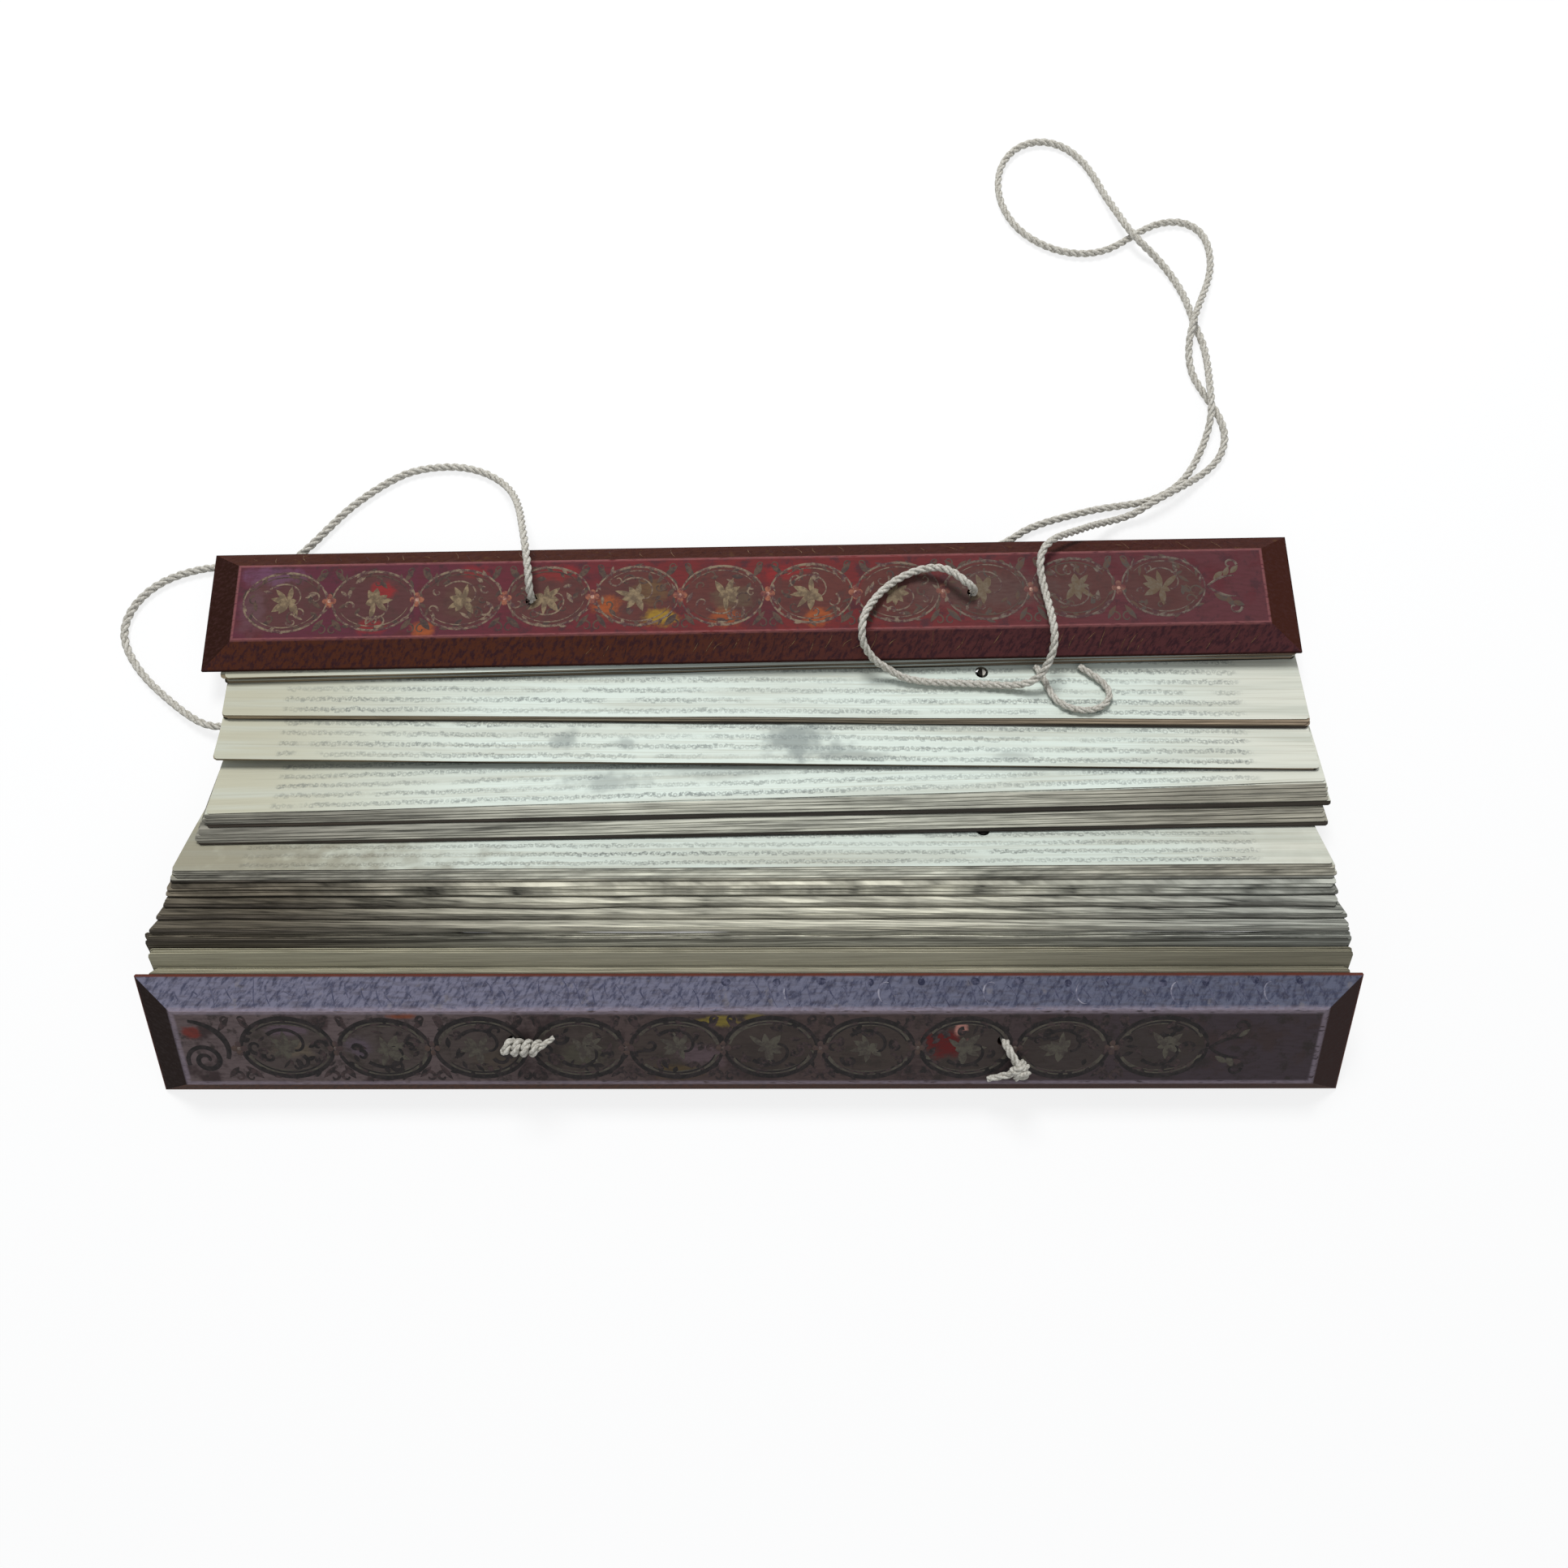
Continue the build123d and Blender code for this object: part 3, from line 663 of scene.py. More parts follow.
top = board_frame("top_board", Vector((1, 0, 0)), Vector((0, sin(top_slope), cos(top_slope))))
bottom = board_frame(
    "bottom_board",
    Vector((cos(bottom_turn), sin(bottom_turn), 0)),
    Vector((
        sin(bottom_turn) * sin(bottom_lean), -cos(bottom_turn) * sin(bottom_lean), cos(bottom_lean)
    )),
)


medallion_spacing = 31.8
ring = (15.0, 11.6)  # half sizes of a medallion's ring
top_first, top_count = -168.6, 11
bottom_first, bottom_count = -151.2, 10


def lacquer(board, name, tones, tints, first, count, arris_width):
    """Worn lacquer. Tones gives the colours of the face at left, middle and right, of patches on it and the
    medallions' ground, of the bevels and their brush strokes, the ends, the rim and the lighter line round
    the face, partly wear and partly painted highlight. First and count place the medallions, and arris_width
    is half the width of that line."""
    shader = Shader(name, 0.7, 0.03)
    place, _ = shader.place()
    shifted = shader.vector_math("SUBTRACT", place, board.origin)[0]
    x, y, z = (shader.dot(shifted, axis) for axis in (board.x, board.y, board.z))
    half_width, half_length = board_width / 2, board_length / 2
    normal = shader.node("ShaderNodeNewGeometry").outputs["True Normal"]
    local = shader.combine(x, y, z)
    patches = shader.noise(local, 0.06, 4.0, 0.65)
    spots = shader.noise(local, 0.2, 4.0, 0.65)
    drawn_out = shader.combine(shader.times(x, 0.25), shader.times(y, 1.1), z)
    wear = shader.noise(drawn_out, 1.0, 4.0)
    colour = shader.mix(shader.step(x, -140.0, -10.0), tones["left"], tones["middle"])
    colour = shader.mix(shader.step(x, 30.0, 150.0), colour, tones["right"])
    colour = shader.mix(shader.step(patches, 0.5, 0.64), colour, tones["patch"])
    colour = shader.mix(shader.step(spots, 0.52, 0.68, 0.8), colour, tones["spot"])
    number = shader.over(shader.minus(x, first), medallion_spacing)
    number = shader.math("MINIMUM", shader.math("MAXIMUM", shader.math("ROUND", number), 0.0), count - 1.0)
    medallion_x = shader.plus(shader.times(number, medallion_spacing), first)
    reach = shader.oval(shader.minus(x, medallion_x), y, (0.0, half_width), ring)
    colour = shader.mix(shader.step(reach, 1.02, 0.9, 0.6), colour, tones["ground"])
    ragged = shader.times(shader.minus(spots, 0.5), 1.8)
    # Tints are coloured patches on the face; on the top board two of them are a painted sheen.
    colour = shader.patched(colour, tints, x, y, ragged, 0.4)

    slant = shader.minus(x, shader.times(y, 0.6))
    brushed = shader.combine(shader.times(slant, 0.6), shader.times(y, 0.42), 7.0)
    strokes = shader.noise(brushed, 1.0, 4.0, 0.65)
    near = shader.mix(shader.step(x, -60.0, 120.0), tones["near"], tones["near_right"])
    near = shader.mix(shader.step(strokes, 0.44, 0.62, 0.85), near, tones["near_stroke"])
    far = shader.mix(shader.step(x, -100.0, 160.0), tones["far"], tones["far_right"])
    far = shader.mix(shader.step(strokes, 0.42, 0.66, 0.8), far, tones["far_stroke"])
    far = shader.mix(shader.step(spots, 0.6, 0.7, 0.4), far, tones["far_fleck"])
    bevel = shader.mix(shader.step(shader.dot(normal, board.y), -0.05, 0.05), near, far)
    across = shader.math("ABSOLUTE", shader.dot(normal, board.x))
    end = shader.mix(shader.step(x, -50.0, 50.0), tones["end"], tones["end_right"])
    bevel = shader.mix(shader.step(across, 0.2, 0.3), bevel, end)
    bevel = shader.mix(shader.step(z, board_rim + 0.45, board_rim), bevel, tones["rim"])
    on_face = shader.step(z, board_thickness - 0.3, board_thickness - 0.05)
    colour = shader.mix(on_face, bevel, colour)
    from_middle = shader.math("ABSOLUTE", shader.minus(y, half_width))
    from_sides = shader.minus(half_width - side_bevel, from_middle)
    from_ends = shader.minus(half_length - end_bevel, shader.math("ABSOLUTE", x))
    inset = shader.math("ABSOLUTE", shader.math("MINIMUM", from_sides, from_ends))
    # A lighter line along the face's edges, broken by wear: partly wear, partly painted highlight.
    line = shader.step(inset, arris_width, 0.3 * arris_width, 0.55)
    colour = shader.mix(shader.times(line, shader.step(wear, 0.25, 0.5)), colour, tones["arris_wear_and_highlight"])
    colour = shader.mix(shader.step(wear, 0.4, 0.75, 0.4), colour, tones["worn"])
    shader.bump(wear, 0.15, 0.15)
    return shader.finish(colour)


top_tones = {
    "left": srgb(86, 46, 56), "middle": srgb(104, 46, 46), "right": srgb(88, 52, 56),
    "patch": srgb(86, 46, 50), "spot": srgb(68, 46, 50), "worn": srgb(70, 44, 44), "ground": srgb(80, 60, 54),
    "near": srgb(84, 47, 34), "near_right": srgb(84, 48, 50), "near_stroke": srgb(50, 31, 38),
    "far": srgb(62, 32, 22), "far_right": srgb(60, 30, 24), "far_stroke": srgb(48, 22, 18),
    "far_fleck": srgb(84, 60, 32), "end": srgb(38, 17, 10), "end_right": srgb(58, 28, 20),
    "rim": srgb(40, 18, 14), "arris_wear_and_highlight": srgb(148, 94, 94),
}
orange, yellow, crimson = srgb(144, 78, 46), srgb(144, 116, 46), srgb(128, 46, 46)
top_tints_and_sheen = [
    Patch(-51.6, 19.2, 6.0, 5.0, 0.9, orange),
    Patch(-33.0, 14.6, 8.0, 4.0, 0.9, yellow),
    Patch(-8.7, 14.2, 7.0, 4.0, 0.7, orange),
    Patch(24.1, 13.6, 6.0, 4.0, 0.9, orange),
    Patch(-117.5, 11.4, 5.0, 4.0, 0.9, orange),
    Patch(-133.0, 26.8, 6.0, 4.0, 0.9, crimson),
    Patch(-137.4, 12.8, 6.0, 4.0, 0.7, crimson),
    Patch(12.0, 32.0, 10.0, 4.0, 0.8, crimson),
    Patch(-70.0, 33.0, 10.0, 4.0, 0.6, crimson),
    Patch(-100.0, 34.0, 8.0, 3.0, 0.6, crimson),
    # The next two patches are a painted purple sheen near the face's far left corner and its left end.
    Patch(-174.0, 34.0, 12.0, 5.0, 0.4, srgb(112, 84, 112)),
    Patch(-180.0, 20.0, 6.0, 12.0, 0.4, srgb(98, 78, 84)),
    Patch(-37.0, 24.0, 8.0, 6.0, 0.6, srgb(98, 82, 56)),
    Patch(-6.0, 22.0, 9.0, 6.0, 0.6, srgb(88, 80, 64)),
    Patch(-104.0, 22.0, 10.0, 7.0, 0.4, srgb(84, 72, 58)),
    Patch(84.0, 23.0, 40.0, 9.0, 0.45, srgb(84, 74, 70)),
]
bottom_tones = {
    "left": srgb(98, 86, 86), "middle": srgb(78, 66, 64), "right": srgb(66, 58, 62),
    "patch": srgb(64, 54, 54), "spot": srgb(52, 48, 46), "worn": srgb(54, 46, 46), "ground": srgb(64, 59, 54),
    "near": srgb(70, 44, 32), "near_right": srgb(56, 34, 28), "near_stroke": srgb(44, 30, 26),
    "far": srgb(110, 109, 126), "far_right": srgb(90, 93, 110), "far_stroke": srgb(50, 53, 72),
    "far_fleck": srgb(120, 114, 114), "end": srgb(30, 20, 17), "end_right": srgb(50, 36, 34),
    "rim": srgb(92, 50, 40), "arris_wear_and_highlight": srgb(148, 136, 148),
}
bottom_tints = [
    Patch(64.0, 25.0, 9.0, 7.0, 0.95, srgb(92, 36, 36)),
    Patch(69.5, 30.1, 2.6, 3.2, 1.0, srgb(168, 120, 110)),
    Patch(72.0, 24.5, 1.6, 3.4, 1.0, srgb(150, 104, 98)),
    Patch(-8.7, 34.0, 8.0, 2.6, 0.9, srgb(122, 108, 52)),
    Patch(1.8, 35.6, 5.0, 2.0, 0.7, srgb(110, 98, 54)),
    Patch(-181.5, 29.2, 4.0, 3.0, 0.8, srgb(112, 44, 36)),
    Patch(-112.0, 36.0, 6.0, 1.6, 0.8, srgb(120, 66, 44)),
    Patch(-150.0, 23.0, 9.0, 4.0, 0.7, srgb(104, 94, 80)),
    Patch(-54.0, 20.0, 10.0, 6.0, 0.6, srgb(80, 78, 66)),
    Patch(-16.0, 20.0, 9.0, 6.0, 0.6, srgb(100, 84, 90)),
    Patch(-150.0, 31.0, 8.0, 3.0, 0.6, srgb(104, 88, 100)),
    Patch(-128.0, 24.0, 5.0, 5.0, 0.5, srgb(96, 84, 98)),
    Patch(-24.0, 14.0, 10.0, 4.0, 0.6, srgb(88, 74, 48)),
    Patch(-84.0, 18.0, 10.0, 6.0, 0.5, srgb(78, 70, 60)),
]
board_finishes = [
    (top, lacquer(top, "red_lacquer", top_tones, top_tints_and_sheen, top_first, top_count, 0.8)),
    (bottom, lacquer(bottom, "dark_lacquer", bottom_tones, bottom_tints, bottom_first, bottom_count, 1.6)),
]
for board, finish in board_finishes:
    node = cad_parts[board.node]
    node.data.materials.clear()
    node.data.materials.append(finish)
    soften = node.modifiers.new("worn_edges", "BEVEL")
    soften.width = 0.4 * MM
    soften.segments = 2
    soften.limit_method = "ANGLE"
    soften.angle_limit = radians(15)


bevel_slope = 11.6  # width of a long bevel along its slope
stroke_edge = 0.03  # height of a stroke's sides above the board


def on_face(board, x, y, lift):
    """A point above a board's outer face, from the board's middle and its near edge."""
    return board.origin + board.x * x + board.y * y + board.z * (board_thickness + lift)


def on_bevel(board, far):
    """A way to place strokes on a long bevel: y runs from 0 at the rim to 1 at the face."""
    fall = board_thickness - board_rim
    slant = (board.y * (1 if far else -1) * fall + board.z * side_bevel).normalized()

    def place(_, x, y, lift):
        inward = side_bevel * y
        base = board.y * (board_width - inward if far else inward)
        return board.origin + board.x * x + base + board.z * (board_rim + fall * y) + slant * lift

    return place


def add_stroke(bm, board, line, widths, tone, place=on_face, scale=1.0, ridge=0.16):
    """A brush stroke: a low ridge along a line of (x, y) places, as wide as widths says from start to end.
    Scale is the length of one unit of y in millimetres."""
    last = len(line) - 1
    strip = bmesh.ops.create_grid(bm, x_segments=last, y_segments=2, size=1.0)["verts"]
    for vertex in strip:
        index, side = round((vertex.co.x + 1) / 2 * last), round(vertex.co.y)
        x, y = line[index]
        ahead, behind = line[min(index + 1, last)], line[max(index - 1, 0)]
        run = Vector((ahead[0] - behind[0], (ahead[1] - behind[1]) * scale)).normalized()
        part = index / last * (len(widths) - 1)
        first = min(int(part), len(widths) - 2)
        half = (widths[first] + (widths[first + 1] - widths[first]) * (part - first)) / 2
        lift = stroke_edge if side else ridge
        vertex.co = place(board, x - run.y * side * half, y + run.x * side * half / scale, lift)
        for face in vertex.link_faces:
            face.material_index = tone


def add_blob(bm, board, outline, tone, place=on_face, ridge=0.16):
    """A filled shape: a low cushion inside a closed outline of (x, y) places."""
    sides = len(outline)
    fan = bmesh.ops.create_circle(bm, cap_ends=True, cap_tris=True, segments=sides, radius=1.0)["verts"]
    peak = min(fan, key=lambda vertex: vertex.co.length)
    rim = [vertex for vertex in fan if vertex is not peak]
    for vertex, point in zip(rim, outline):
        vertex.co = place(board, *point, stroke_edge)
    middle = [sum(values) / sides for values in zip(*outline)]
    peak.co = place(board, *middle, ridge)
    for face in peak.link_faces:
        face.material_index = tone


def arc(middle, radii, start, end, steps=18):
    """Places along part of an ellipse, angles in degrees."""
    angles = [radians(start + (end - start) * step / steps) for step in range(steps + 1)]
    return [(middle[0] + radii[0] * cos(angle), middle[1] + radii[1] * sin(angle)) for angle in angles]


def spiral(middle, radius, start, turns, steps=22):
    """A curl that closes on its middle, from a start angle in degrees."""
    places = []
    for step in range(steps + 1):
        share = step / steps
        angle = radians(start) + 2 * pi * turns * share
        places.append((
            middle[0] + radius * (1 - 0.85 * share) * cos(angle),
            middle[1] + radius * (1 - 0.85 * share) * sin(angle),
        ))
    return places


def almond(middle, length, width, tilt, steps=6):
    """A pointed leaf, as closed places round its middle; tilt in degrees."""
    turn = radians(tilt)
    outline = []
    for side, order in ((1, range(steps)), (-1, range(steps, 0, -1))):
        for step in order:
            along = length * (step / steps - 0.5)
            across = side * width / 2 * sin(pi * step / steps)
            outline.append((
                middle[0] + along * cos(turn) - across * sin(turn),
                middle[1] + along * sin(turn) + across * cos(turn),
            ))
    return outline


LINE, LEAF, ROSETTE, DARK, PALE = range(5)


def add_medallion(bm, board, middle, flip, draw, weight, banded):
    """One medallion of the scroll: a leafy ring round a lobed leaf on a stem, with curls and leaves between.
    A banded ring is filled between its lines."""
    cx, cy = middle
    mixed_tones = (LINE, DARK, DARK)

    def on_ring(angle, reach):
        return (cx + ring[0] * reach * cos(angle), cy + ring[1] * reach * sin(angle))

    for upper in (1, -1):
        if banded:
            start, end = upper * draw.uniform(4, 24), upper * draw.uniform(140, 176)
            band = arc(middle, (ring[0] * 0.91, ring[1] * 0.9), start, end, 20)
            add_stroke(bm, board, band, (1.0, 2.8, 1.0), LEAF, ridge=0.04)
        turn = arc(middle, ring, upper * draw.uniform(-4, 8), upper * draw.uniform(170, 184), 24)
        add_stroke(bm, board, turn, (0.5 * weight, weight, 0.6 * weight), LINE, ridge=0.08)
        start, end = upper * draw.uniform(10, 40), upper * draw.uniform(120, 165)
        inner = arc(middle, (ring[0] * 0.86, ring[1] * 0.86), start, end, 18)
        thin = (0.2 * weight, 0.5 * weight, 0.2 * weight)
        add_stroke(bm, board, inner, thin, draw.choice((LINE, DARK)), ridge=0.06)
        for step in range(9):
            angle = 14 + 19 * step + draw.uniform(-6, 6)
            spot = on_ring(upper * radians(angle), draw.uniform(0.9, 1.06))
            tilt = upper * (angle + 90 + draw.uniform(-50, 50))
            shape = almond(spot, draw.uniform(2.6, 4.6), draw.uniform(0.9, 1.5) * weight ** 0.5, tilt)
            add_blob(bm, board, shape, draw.choice(mixed_tones), ridge=0.06)
    stem = spiral((cx + 1.5, cy), 9.0, flip * 215, 0.55 * flip)
    add_stroke(bm, board, stem, (0.7 * weight, 0.4 * weight), LINE, ridge=0.08)
    tilt = draw.uniform(-30, 30) + (0 if flip > 0 else 180)
    heart = (cx + draw.uniform(-1.5, 1.5), cy + draw.uniform(-0.8, 0.8))
    for fan in (-105, -58, -20, 22, 60, 110, 180):
        length = draw.uniform(5.0, 8.4) if abs(fan) < 150 else draw.uniform(2.4, 4.0)
        angle = tilt + fan + draw.uniform(-10, 10)
        turn = radians(angle)
        spot = (heart[0] + length * 0.5 * cos(turn), heart[1] + length * 0.42 * sin(turn))
        add_blob(bm, board, almond(spot, length, draw.uniform(1.9, 3.0), angle), LEAF, ridge=0.1)
    for _ in range(7):
        spot = on_ring(draw.uniform(0, 2 * pi), draw.uniform(0.5, 0.78))
        curl = spiral(spot, draw.uniform(1.6, 3.2), draw.uniform(0, 360), draw.choice((-0.8, 0.8)), 12)
        add_stroke(bm, board, curl, (0.8 * weight, 0.3 * weight), draw.choice(mixed_tones), ridge=0.06)
    for _ in range(9):
        spot = on_ring(draw.uniform(0, 2 * pi), draw.uniform(0.5, 0.86))
        shape = almond(spot, draw.uniform(2.6, 5.0), draw.uniform(1.0, 1.9), draw.uniform(0, 180))
        add_blob(bm, board, shape, draw.choice(mixed_tones), ridge=0.05)


def add_spandrels(bm, board, x, draw, weight):
    """Leaf pairs and curls above and below the place where two rings meet, and the rosette on it."""
    half = board_width / 2
    for side in (-1, 1):
        for lean in (-1, 1):
            tilt = 90 * side + lean * draw.uniform(28, 48)
            spot = (x + lean * 3.4, half + side * 9.6)
            shape = almond(spot, draw.uniform(6.0, 7.6), draw.uniform(1.8, 2.6), tilt)
            add_blob(bm, board, shape, DARK, ridge=0.06)
            curl = spiral((x + lean * 2.2, half + side * 11.6), 2.2, -90 * side, 0.75 * lean, 12)
            add_stroke(bm, board, curl, (0.7 * weight, 0.3 * weight), DARK, ridge=0.06)
    for petal in range(4):
        spot = (x + 1.5 * cos(petal * pi / 2), half + 1.7 * sin(petal * pi / 2))
        add_blob(bm, board, arc(spot, (1.1, 1.2), 0, 330, 11), ROSETTE, ridge=0.2)
    add_blob(bm, board, arc((x, half), (0.7, 0.8), 0, 330, 11), PALE, ridge=0.3)


def add_scroll(bm, board, first, count, draw, weight, banded=False):
    """A running scroll of medallions along a board's face; weight is the width of its lines."""
    for index in range(count):
        x = first + medallion_spacing * index
        middle = (x + draw.uniform(-0.6, 0.6), board_width / 2 + draw.uniform(-0.4, 0.4))
        add_medallion(bm, board, middle, 1 if index % 2 else -1, draw, weight, banded)
        if index < count - 1:
            add_spandrels(bm, board, x + medallion_spacing / 2, draw, weight)


def add_spray(bm, board, x, draw, weight):
    """Two crossing stems with leaves that close the scroll at the right end of the face."""
    half = board_width / 2
    for side in (-1, 1):
        stem = [(x + step, half + side * (step * 0.9 - 0.05 * step * step)) for step in range(11)]
        add_stroke(bm, board, stem, (0.8 * weight, weight, 0.4 * weight), LINE)
        for step in (3, 6, 9):
            spot = (stem[step][0] + 1.4, stem[step][1] + side * draw.uniform(1.6, 3.0))
            length, width = draw.uniform(4.5, 6.5), draw.uniform(1.8, 2.6)
            shape = almond(spot, length, width, side * draw.uniform(20, 70))
            add_blob(bm, board, shape, draw.choice((DARK, LEAF)), ridge=0.1)
        curl = spiral((x + 9.0, half + side * 8.4), 2.6, 0, 0.8 * side, 12)
        add_stroke(bm, board, curl, (weight, 0.4), LINE)


def add_dashes(bm, board, far, start, end, spacing, tones, widths, draw, slant=3.2):
    """Slanting brush strokes along a long bevel."""
    place = on_bevel(board, far)
    x = start
    while x < end:
        low, high = draw.uniform(0.1, 0.45), draw.uniform(0.55, 0.92)
        lean = draw.uniform(0.4, 1.2) * slant
        bow = draw.uniform(-0.9, 0.9)
        line = []
        for share in (0, 0.25, 0.5, 0.75, 1):
            line.append((x + lean * share + bow * sin(pi * share), low + (high - low) * share))
        add_stroke(bm, board, line, widths, draw.choice(tones), place, bevel_slope, 0.1)
        x += spacing * draw.uniform(0.4, 1.6)


def paint(name, colour, rubbed, share=0.5, right=None):
    """A brush colour, rubbed away to the colour under it over a share of its length, with another colour
    towards the right if one is given."""
    shader = Shader(name, 0.6, 0.08)
    place, (x, _, _) = shader.place()
    if right:
        colour = shader.mix(shader.step(x, 10.0, 110.0), colour, right)
    wear = shader.noise(place, 0.4, 4.0, 0.7)
    low = 0.6 - 0.2 * share
    return shader.finish(shader.mix(shader.step(wear, low - 0.12, low + 0.12), colour, rubbed))


draw = random.Random(41)
bm = bmesh.new()
add_scroll(bm, top, top_first, top_count, draw, 1.0)
add_spray(bm, top, 165.6, draw, 1.0)
red_ground, purple_ground = srgb(92, 54, 54), srgb(74, 50, 52)
piece(
    "top_scroll", bm,
    [
        paint("gilt_line", srgb(122, 106, 88), purple_ground, 0.5, srgb(104, 94, 84)),
        paint("gilt_leaf", srgb(128, 111, 86), srgb(92, 77, 62), 0.6, srgb(100, 90, 78)),
        paint("rosette", srgb(142, 90, 68), red_ground, 0.5, srgb(112, 80, 70)),
        paint("dark_stroke", srgb(60, 48, 46), srgb(84, 66, 56), 0.5, srgb(74, 66, 62)),
        paint("rosette_eye", srgb(180, 144, 128), red_ground, 0.4),
    ],
)
bm = bmesh.new()
add_dashes(bm, top, False, -60.0, 182.0, 4.6, (0, 1), (0.1, 0.32, 0.1), draw)
add_dashes(bm, top, True, -184.0, 182.0, 8.0, (0, 1), (0.1, 0.3, 0.1), draw)
piece(
    "top_dashes", bm,
    [
        paint("gilt_dash", srgb(116, 92, 66), srgb(70, 42, 36)),
        paint("dim_dash", srgb(50, 30, 34), srgb(66, 38, 36)),
    ],
)

bm = bmesh.new()
add_scroll(bm, bottom, bottom_first, bottom_count, draw, 2.0, True)
add_spray(bm, bottom, 151.0, draw, 1.2)
add_stroke(bm, bottom, spiral((-178.6, 18.6), 6.2, 200, -1.6, 40), (1.4, 1.9, 1.0), LINE, ridge=0.08)
add_stroke(bm, bottom, arc((-184.0, 23.0), (13.5, 11.4), 80, -20, 18), (1.2, 2.2, 1.4), LINE, ridge=0.08)
add_spandrels(bm, bottom, -167.0, draw, 1.5)
brown_ground = srgb(70, 58, 58)
piece(
    "bottom_scroll", bm,
    [
        paint("dark_line", srgb(36, 34, 34), srgb(50, 45, 45), 0.4),
        paint("olive_leaf", srgb(84, 80, 71), srgb(68, 62, 58)),
        paint("dim_rosette", srgb(80, 66, 60), brown_ground),
        paint("black_stroke", srgb(42, 39, 39), brown_ground),
        paint("dim_eye", srgb(104, 94, 88), brown_ground),
    ],
)
bm = bmesh.new()
add_dashes(bm, bottom, True, -186.0, 188.0, 6.0, (0, 0), (0.1, 0.5, 0.1), draw, 3.0)
bevel_place = on_bevel(bottom, True)
for index in range(13):
    x = -6.0 + 15.6 * index + draw.uniform(-3, 3)
    y = draw.uniform(0.12, 0.24)
    oval = arc((x, y), (draw.uniform(0.9, 1.7), 1.2), 0, 330, 11)
    dot = [(u, y + (v - y) / bevel_slope) for u, v in oval]
    add_blob(bm, bottom, dot, 2, bevel_place, 0.08)
    if index % 2:
        bow = arc((x + 5.0, 0.5), (2.6, 0.3), draw.uniform(60, 110), draw.uniform(240, 300), 10)
        add_stroke(bm, bottom, bow, (0.1, 0.6, 0.2), 1, bevel_place, bevel_slope, 0.08)
bevel_ground = srgb(88, 88, 106)
piece(
    "bottom_dashes", bm,
    [
        paint("blue_dash", srgb(60, 62, 82), bevel_ground),
        paint("pale_dash", srgb(138, 136, 148), bevel_ground),
        paint("ink_dot", srgb(40, 42, 60), bevel_ground, 0.3),
    ],
)

# Stopper knots on the bottom board


def wound(axis_start, axis_end, radius, turns):
    """Places of a cord wound round an axis, both given from the hole on the bottom board's outer face."""
    start, end = Vector(axis_start), Vector(axis_end)
    along = (end - start).normalized()
    side = along.cross(Vector((0, 0, 1))).normalized()
    lift = side.cross(along)
    steps = round(turns * 12)
    places = []
    for step in range(steps + 1):
        angle = 2 * pi * turns * step / steps
        bulge = radius * (0.8 + 0.2 * sin(pi * step / steps))
        places.append(start.lerp(end, step / steps) + (side * cos(angle) + lift * sin(angle)) * bulge)
    return places


def from_hole(hole_x, places):
    """Places on the bottom board's outer face, given from one of its holes, in the row frame."""
    hole_y = board_width - bottom_hole_inset
    return [on_face(bottom, hole_x + place[0], hole_y + place[1], place[2]) for place in places]


def knot(node, hole_x, lays):
    """A stopper knot from several lays of cord: places from its hole, width, pitch and taper."""
    bm = bmesh.new()
    for number, (places, width, pitch, taper) in enumerate(lays):
        points = spline_points(f"{node}_lay_{number}", from_hole(hole_x, places))
        add_rope(bm, points, width, pitch, taper)
    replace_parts(piece(node + "_wound", bm, [cotton_material], smooth=True), node)


inside = -board_thickness + 0.3  # just inside the board's inner face
knot("left_knot", bottom_hole_shift - hole_spacing / 2, [
    ([(0.0, 0.0, inside), (0.0, 0.0, -4.0), (0.1, 0.0, 0.0), (1.0, 0.1, 2.4)], cord, 9.0, 0.0),
    (wound((-2.7, 0.2, 3.4), (8.5, -0.2, 3.4), 1.75, 3.7), cord, 8.0, 0.0),
    ([(7.4, -0.6, 3.4), (9.2, 0.8, 4.2), (11.2, 1.8, 3.0), (13.4, 2.8, 1.8)], 2.6, 8.0, 0.35),
])
knot("right_knot", bottom_hole_shift + hole_spacing / 2, [
    ([(0.0, 0.0, inside), (0.0, 0.0, -4.0), (0.2, -0.4, 0.4), (1.3, -2.4, 2.2), (3.0, -5.2, 3.2),
      (4.6, -7.4, 3.8)], cord, 9.0, 0.0),
    (wound((3.8, -7.2, 4.0), (6.6, -9.6, 4.0), 1.9, 2.4), cord, 8.0, 0.0),
    ([(5.0, -9.2, 3.4), (2.4, -11.4, 2.8), (-0.8, -13.0, 2.0), (-5.1, -14.2, 1.8)], cord, 10.0, 0.3),
    ([(5.2, -9.4, 3.4), (5.3, -11.4, 2.8), (4.9, -12.8, 2.2), (4.3, -14.2, 1.8)], cord, 10.0, 0.3),
])

# Cord in the leaves' holes: in the right holes its left part is painted dark as the hole's shade and the rest
# is pale cotton; in the left holes it takes the leaf's colour
cord_and_hole_shade = Shader("cord_and_shade_in_holes", 0.95, 0.0)
_, (cord_and_hole_shade_x, _, _) = cord_and_hole_shade.place()
hole_shadow, pale_cord, leaf_tone = srgb(40, 38, 35), srgb(190, 186, 176), srgb(198, 206, 196)
right_colour = cord_and_hole_shade.mix(cord_and_hole_shade.step(cord_and_hole_shade_x, 84.2, 84.8), hole_shadow, pale_cord)
cord_and_hole_shade_material = cord_and_hole_shade.finish(cord_and_hole_shade.mix(cord_and_hole_shade.step(cord_and_hole_shade_x, -1.0, 1.0), leaf_tone, right_colour))
for node in ("left_cord_inner", "right_cord_inner"):
    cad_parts[node].data.materials.clear()
    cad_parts[node].data.materials.append(cord_and_hole_shade_material)

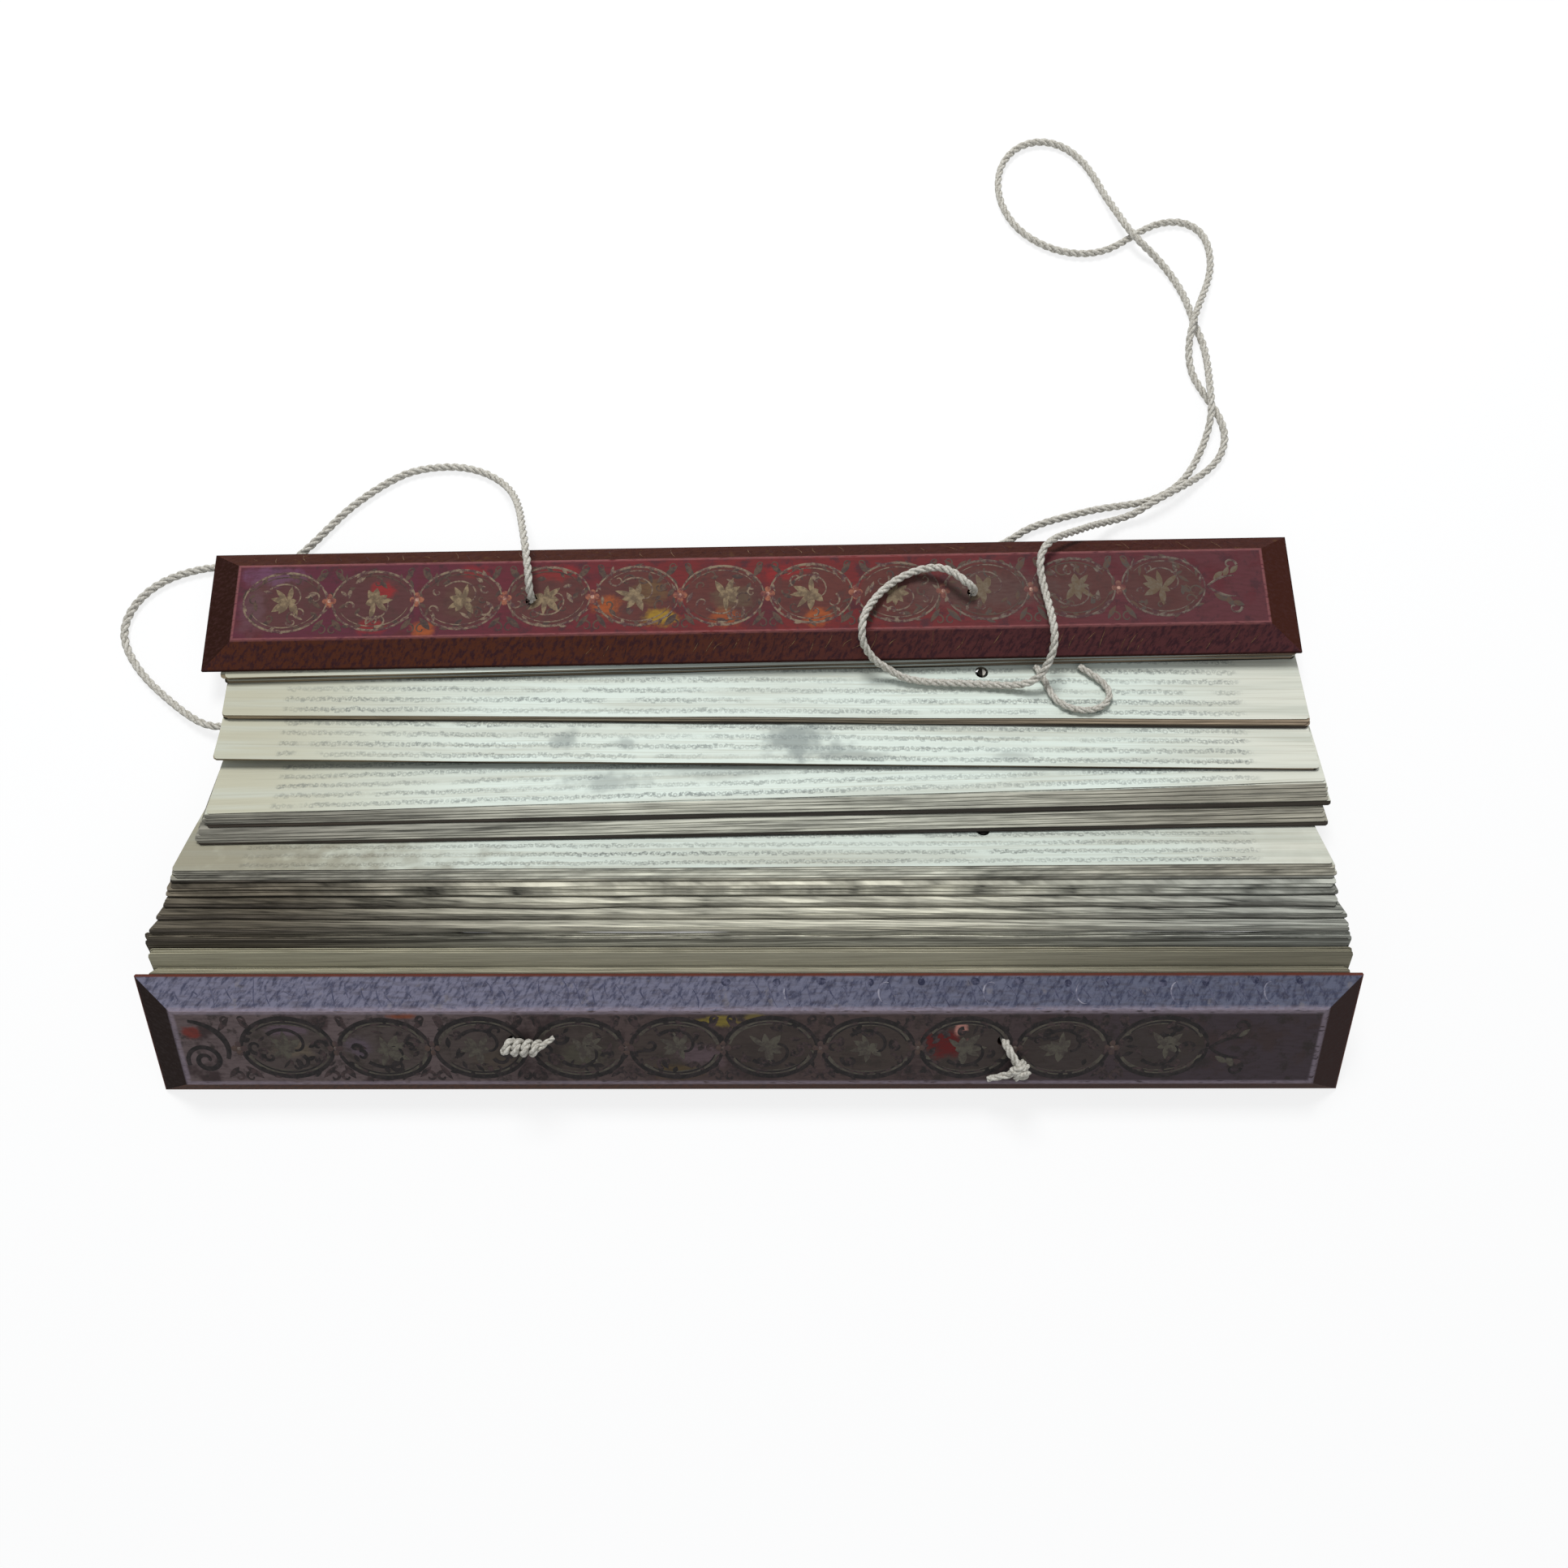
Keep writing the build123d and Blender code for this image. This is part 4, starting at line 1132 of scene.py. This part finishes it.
# Floor, light and camera
floor_drop = 0.2  # below the book's lowest edges
paper_white = 0.8  # share of plain white in the floor, over its shadows
paper = Shader("floor", 0.95, 0.1)
paper_material = paper.finish((0.9, 0.9, 0.9, 1.0))
ray = paper.node("ShaderNodeLightPath").outputs
mirrored = paper.plus(ray["Is Glossy Ray"], ray["Is Transmission Ray"])
seen = paper.math("ADD", ray["Is Camera Ray"], mirrored, clamp=True)
white = paper.node("ShaderNodeEmission").outputs[0]
lit = paper.times(seen, paper_white)
blend = paper.node("ShaderNodeMixShader", [(0, lit), (1, paper.surface.outputs[0]), (2, white)]).outputs[0]
paper.put(paper.tree.nodes["Material Output"].inputs["Surface"], blend)
bm = bmesh.new()
bmesh.ops.create_grid(bm, x_segments=1, y_segments=1, size=4.0)
floor_mesh = bpy.data.meshes.new("floor")
bm.to_mesh(floor_mesh)
bm.free()
floor_mesh.materials.append(paper_material)
floor_piece = bpy.data.objects.new("floor", floor_mesh)
floor_piece.location.z = -floor_drop * MM
scene.collection.objects.link(floor_piece)

world = bpy.data.worlds.new("studio")
world.use_nodes = True
sky, wires = world.node_tree.nodes, world.node_tree.links
room = sky["Background"]
room.inputs["Color"].default_value = (0.93, 0.96, 1.0, 1.0)
room.inputs["Strength"].default_value = 0.43
backdrop = sky.new("ShaderNodeBackground")
backdrop.inputs["Color"].default_value = (1.0, 1.0, 1.0, 1.0)
rays = sky.new("ShaderNodeLightPath").outputs
shown = rays["Is Camera Ray"]
for kind in ("Is Glossy Ray", "Is Transmission Ray"):
    either = sky.new("ShaderNodeMath")
    either.operation = "MAXIMUM"
    wires.new(shown, either.inputs[0])
    wires.new(rays[kind], either.inputs[1])
    shown = either.outputs[0]
seen_sky = sky.new("ShaderNodeMixShader")
for socket, source in zip(seen_sky.inputs, (shown, room.outputs[0], backdrop.outputs[0])):
    wires.new(source, socket)
wires.new(seen_sky.outputs[0], sky["World Output"].inputs["Surface"])
scene.world = world


def lamp(name, place, size, power, aim=(0.0, 0.03, 0.0)):
    """A soft square light that faces the book."""
    light = bpy.data.lights.new(name, "AREA")
    light.shape = "SQUARE"
    light.size = size
    light.energy = power
    holder = bpy.data.objects.new(name, light)
    holder.location = place
    holder.rotation_euler = (Vector(aim) - Vector(place)).to_track_quat("-Z", "Y").to_euler()
    scene.collection.objects.link(holder)


lamp("key", (-0.15, 0.85, 1.15), 0.45, 16.3)
lamp("front_fill", (0.4, -0.9, 0.9), 0.8, 2.0)

photo_width, focal_length = 1932, 1450  # in the photo's pixels
camera_place = (0.0110, -0.0896, 0.4163)
pitch, roll = radians(76.5), radians(-0.987)
forward = Vector((0.0, cos(pitch), -sin(pitch)))
level_up = Vector((0.0, sin(pitch), cos(pitch)))
level_right = Vector((1.0, 0.0, 0.0))
right_axis = level_right * cos(roll) + level_up * sin(roll)
up_axis = level_up * cos(roll) - level_right * sin(roll)
lens = bpy.data.cameras.new("camera")
lens.sensor_width = 36.0
lens.lens = lens.sensor_width * focal_length / photo_width
camera = bpy.data.objects.new("camera", lens)
turned = Matrix((right_axis, up_axis, -forward)).transposed().to_4x4()
camera.matrix_world = Matrix.Translation(camera_place) @ turned
scene.collection.objects.link(camera)
scene.camera = camera
scene.view_settings.view_transform = "Standard"
